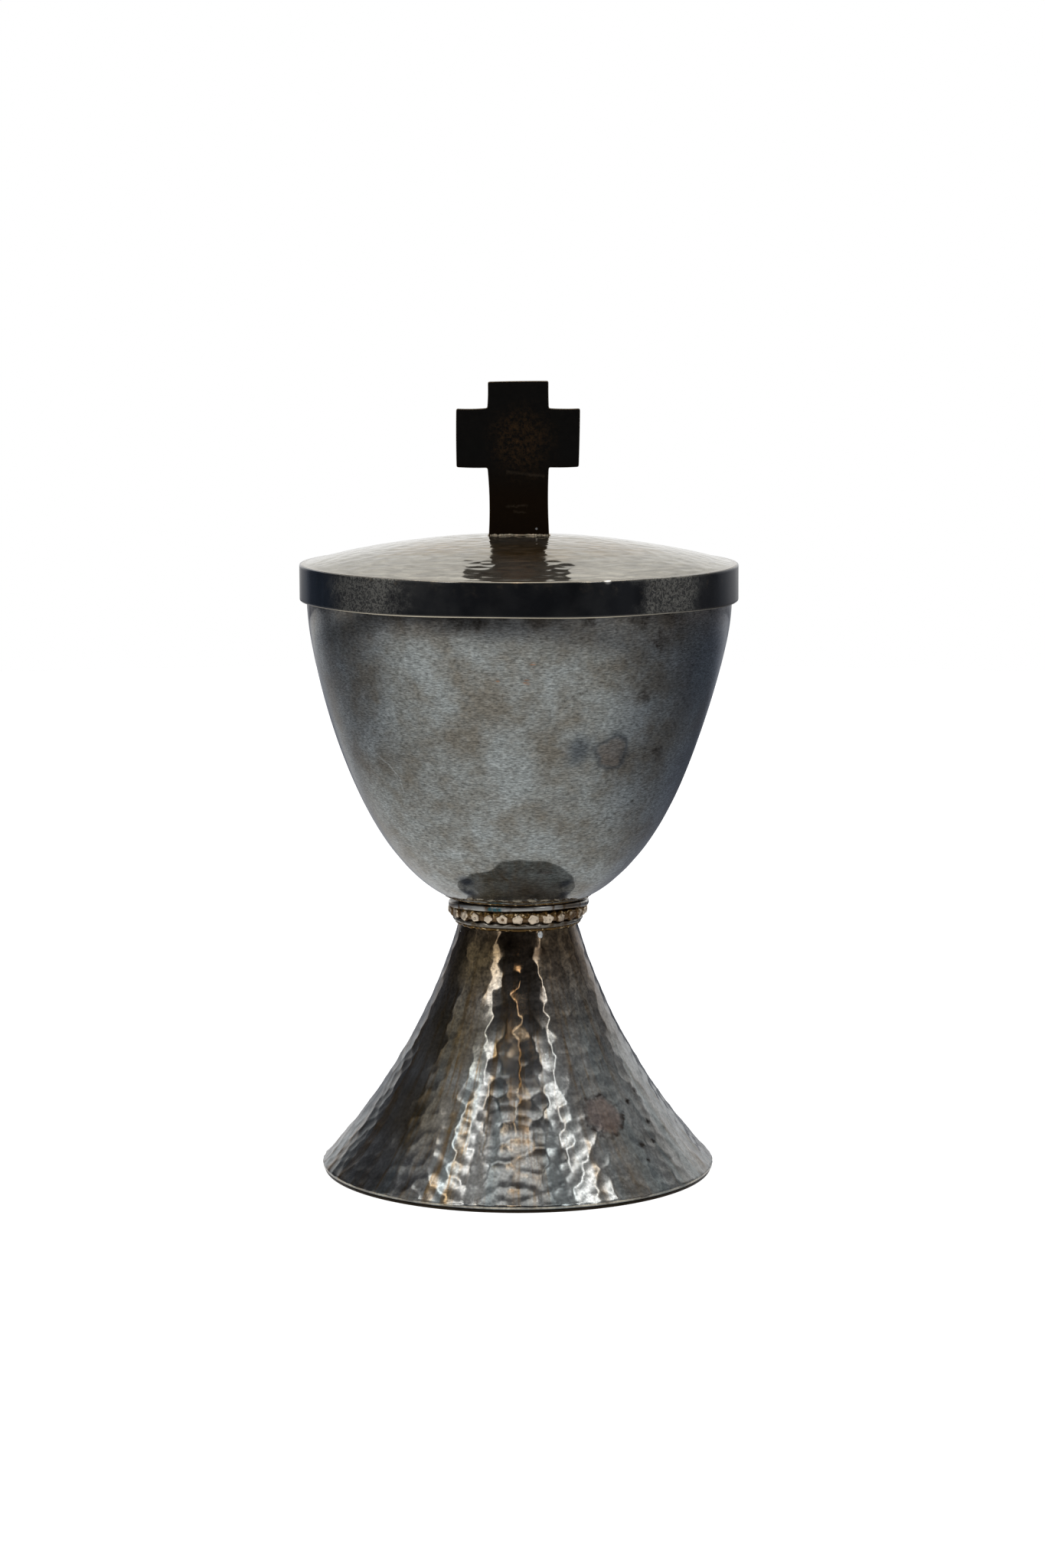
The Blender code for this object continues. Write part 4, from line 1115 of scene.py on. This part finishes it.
# Room: the camera sees white all round. Metal sees a white backdrop behind the cup, a dim grey
# screen on either side, and a dark room in front.
ROOM_DARK = 0.09
SCREENS = (  # bearing, half-width, that of the even middle, brightness, sines of lowest and full height
    (-64, 42, 8, 0.42, -0.15, 0.05), (78, 50, 14, 0.45, -0.15, 0.05), (168, 75, 40, 0.5, 0.35, 0.7),
    (170, 54, 30, 1, -0.16, 0.01),
)
world = bpy.data.worlds.new("studio")
bpy.context.scene.world = world
world.use_nodes = True
add = partial(add_node, world.node_tree)
direction = add("TexCoord").node.outputs["Generated"]
level = add("VectorMath", (direction, (1.0, 1.0, 0.0)), "MULTIPLY")
heading = add("VectorMath", (level,), "NORMALIZE")
rise = add("SeparateXYZ", (direction,)).node.outputs["Z"]
things = add("TexNoise", (direction, 6.0, 3.0))
clutter = add("MapRange", (things, 0.35, 0.65, 0.4, 1.6))
light = ROOM_DARK
for number, (bearing, outer, inner, brightness, lowest, full) in enumerate(SCREENS):
    bearing, outer, inner = np.radians([bearing, outer, inner])
    toward = (math.sin(bearing), -math.cos(bearing), 0.0)
    facing = add("VectorMath", (heading, toward), "DOT_PRODUCT")
    screen = brightness
    for value, start, end in ((facing, math.cos(outer), math.cos(inner)), (rise, lowest, full)):
        screen = add("MapRange", (value, start, end, 0.0, screen), "SMOOTHSTEP")
    if number == len(SCREENS) - 1:  # things stand about the room, but not before the backdrop
        light = add("Math", (light, clutter), "MULTIPLY")
    light = add("Math", (screen, light), "ADD")
camera_ray = add("LightPath").node.outputs["Is Camera Ray"]
seen = add("Mix", (camera_ray, light, 1.0), "FLOAT")
tint = stained(add, DIM_TINT, (add("MapRange", (seen, 0.0, 0.5)), "#ffffff"))
connect(world.node_tree.nodes["Background"], {"Color": tint, "Strength": seen})

# Lamps: on each side a tall soft strip whose head bends back over the cup, a soft box above the
# camera, and a thin warm strip in front.
LAMP_AIM = Vector((0.0, 0.0, 0.05))
STRIP_RADIANCE = 7.0
STRIP_WIDTH = 0.1


def add_strip(name, start, end, width, radiance, colour="#ffffff"):
    """A strip lamp from start to end that faces the cup: its power is its radiance times pi times
    its area, so that metal mirrors it at that brightness."""
    start, end = Vector(start), Vector(end)
    along = (end - start).normalized()
    middle = (start + end) / 2
    away = middle - LAMP_AIM
    away = (away - along * away.dot(along)).normalized()
    data = bpy.data.lights.new(name, "AREA")
    data.shape = "RECTANGLE"
    data.size = width
    data.size_y = (end - start).length
    data.energy = radiance * math.pi * data.size * data.size_y
    data.color = linear(colour)[:3]
    lamp = bpy.data.objects.new(name, data)
    axes = Matrix([along.cross(away), along, away]).transposed().to_4x4()
    lamp.matrix_world = Matrix.Translation(middle) @ axes
    bpy.context.scene.collection.objects.link(lamp)


for side, label in ((-1, "left"), (1, "right")):
    foot_end, head = (side * 0.61, -0.77, 0.28), (side * 0.61, -0.8, 1.0)
    add_strip(f"{label}_strip", foot_end, head, STRIP_WIDTH, STRIP_RADIANCE)
    boom_end, boom_tip = (side * 0.6, -0.8, 1.0), (side * 0.6, 0.0, 1.0)
    add_strip(f"{label}_boom", boom_end, boom_tip, STRIP_WIDTH, STRIP_RADIANCE)
add_strip("front_box", (-0.3, -0.55, 1.0), (0.3, -0.55, 1.0), 0.26, 2.0)
add_strip("warm_strip", (-0.015, -0.8, 0.5), (-0.015, -0.8, 1.35), 0.026, 12.0, "#ffdfb8")

# Camera: a long lens a little above the lid, looking slightly down at the cup.
CAMERA_DIP = 8.214  # degrees below level
camera_data = bpy.data.cameras.new("camera")
camera_data.lens = 85.0
camera = bpy.data.objects.new("camera", camera_data)
camera.location = (0.00126, -0.96509, 0.24185)
camera.rotation_euler = (math.radians(90.0 - CAMERA_DIP), 0.0, 0.0)
bpy.context.scene.collection.objects.link(camera)
bpy.context.scene.camera = camera
bpy.context.scene.view_settings.view_transform = "Standard"
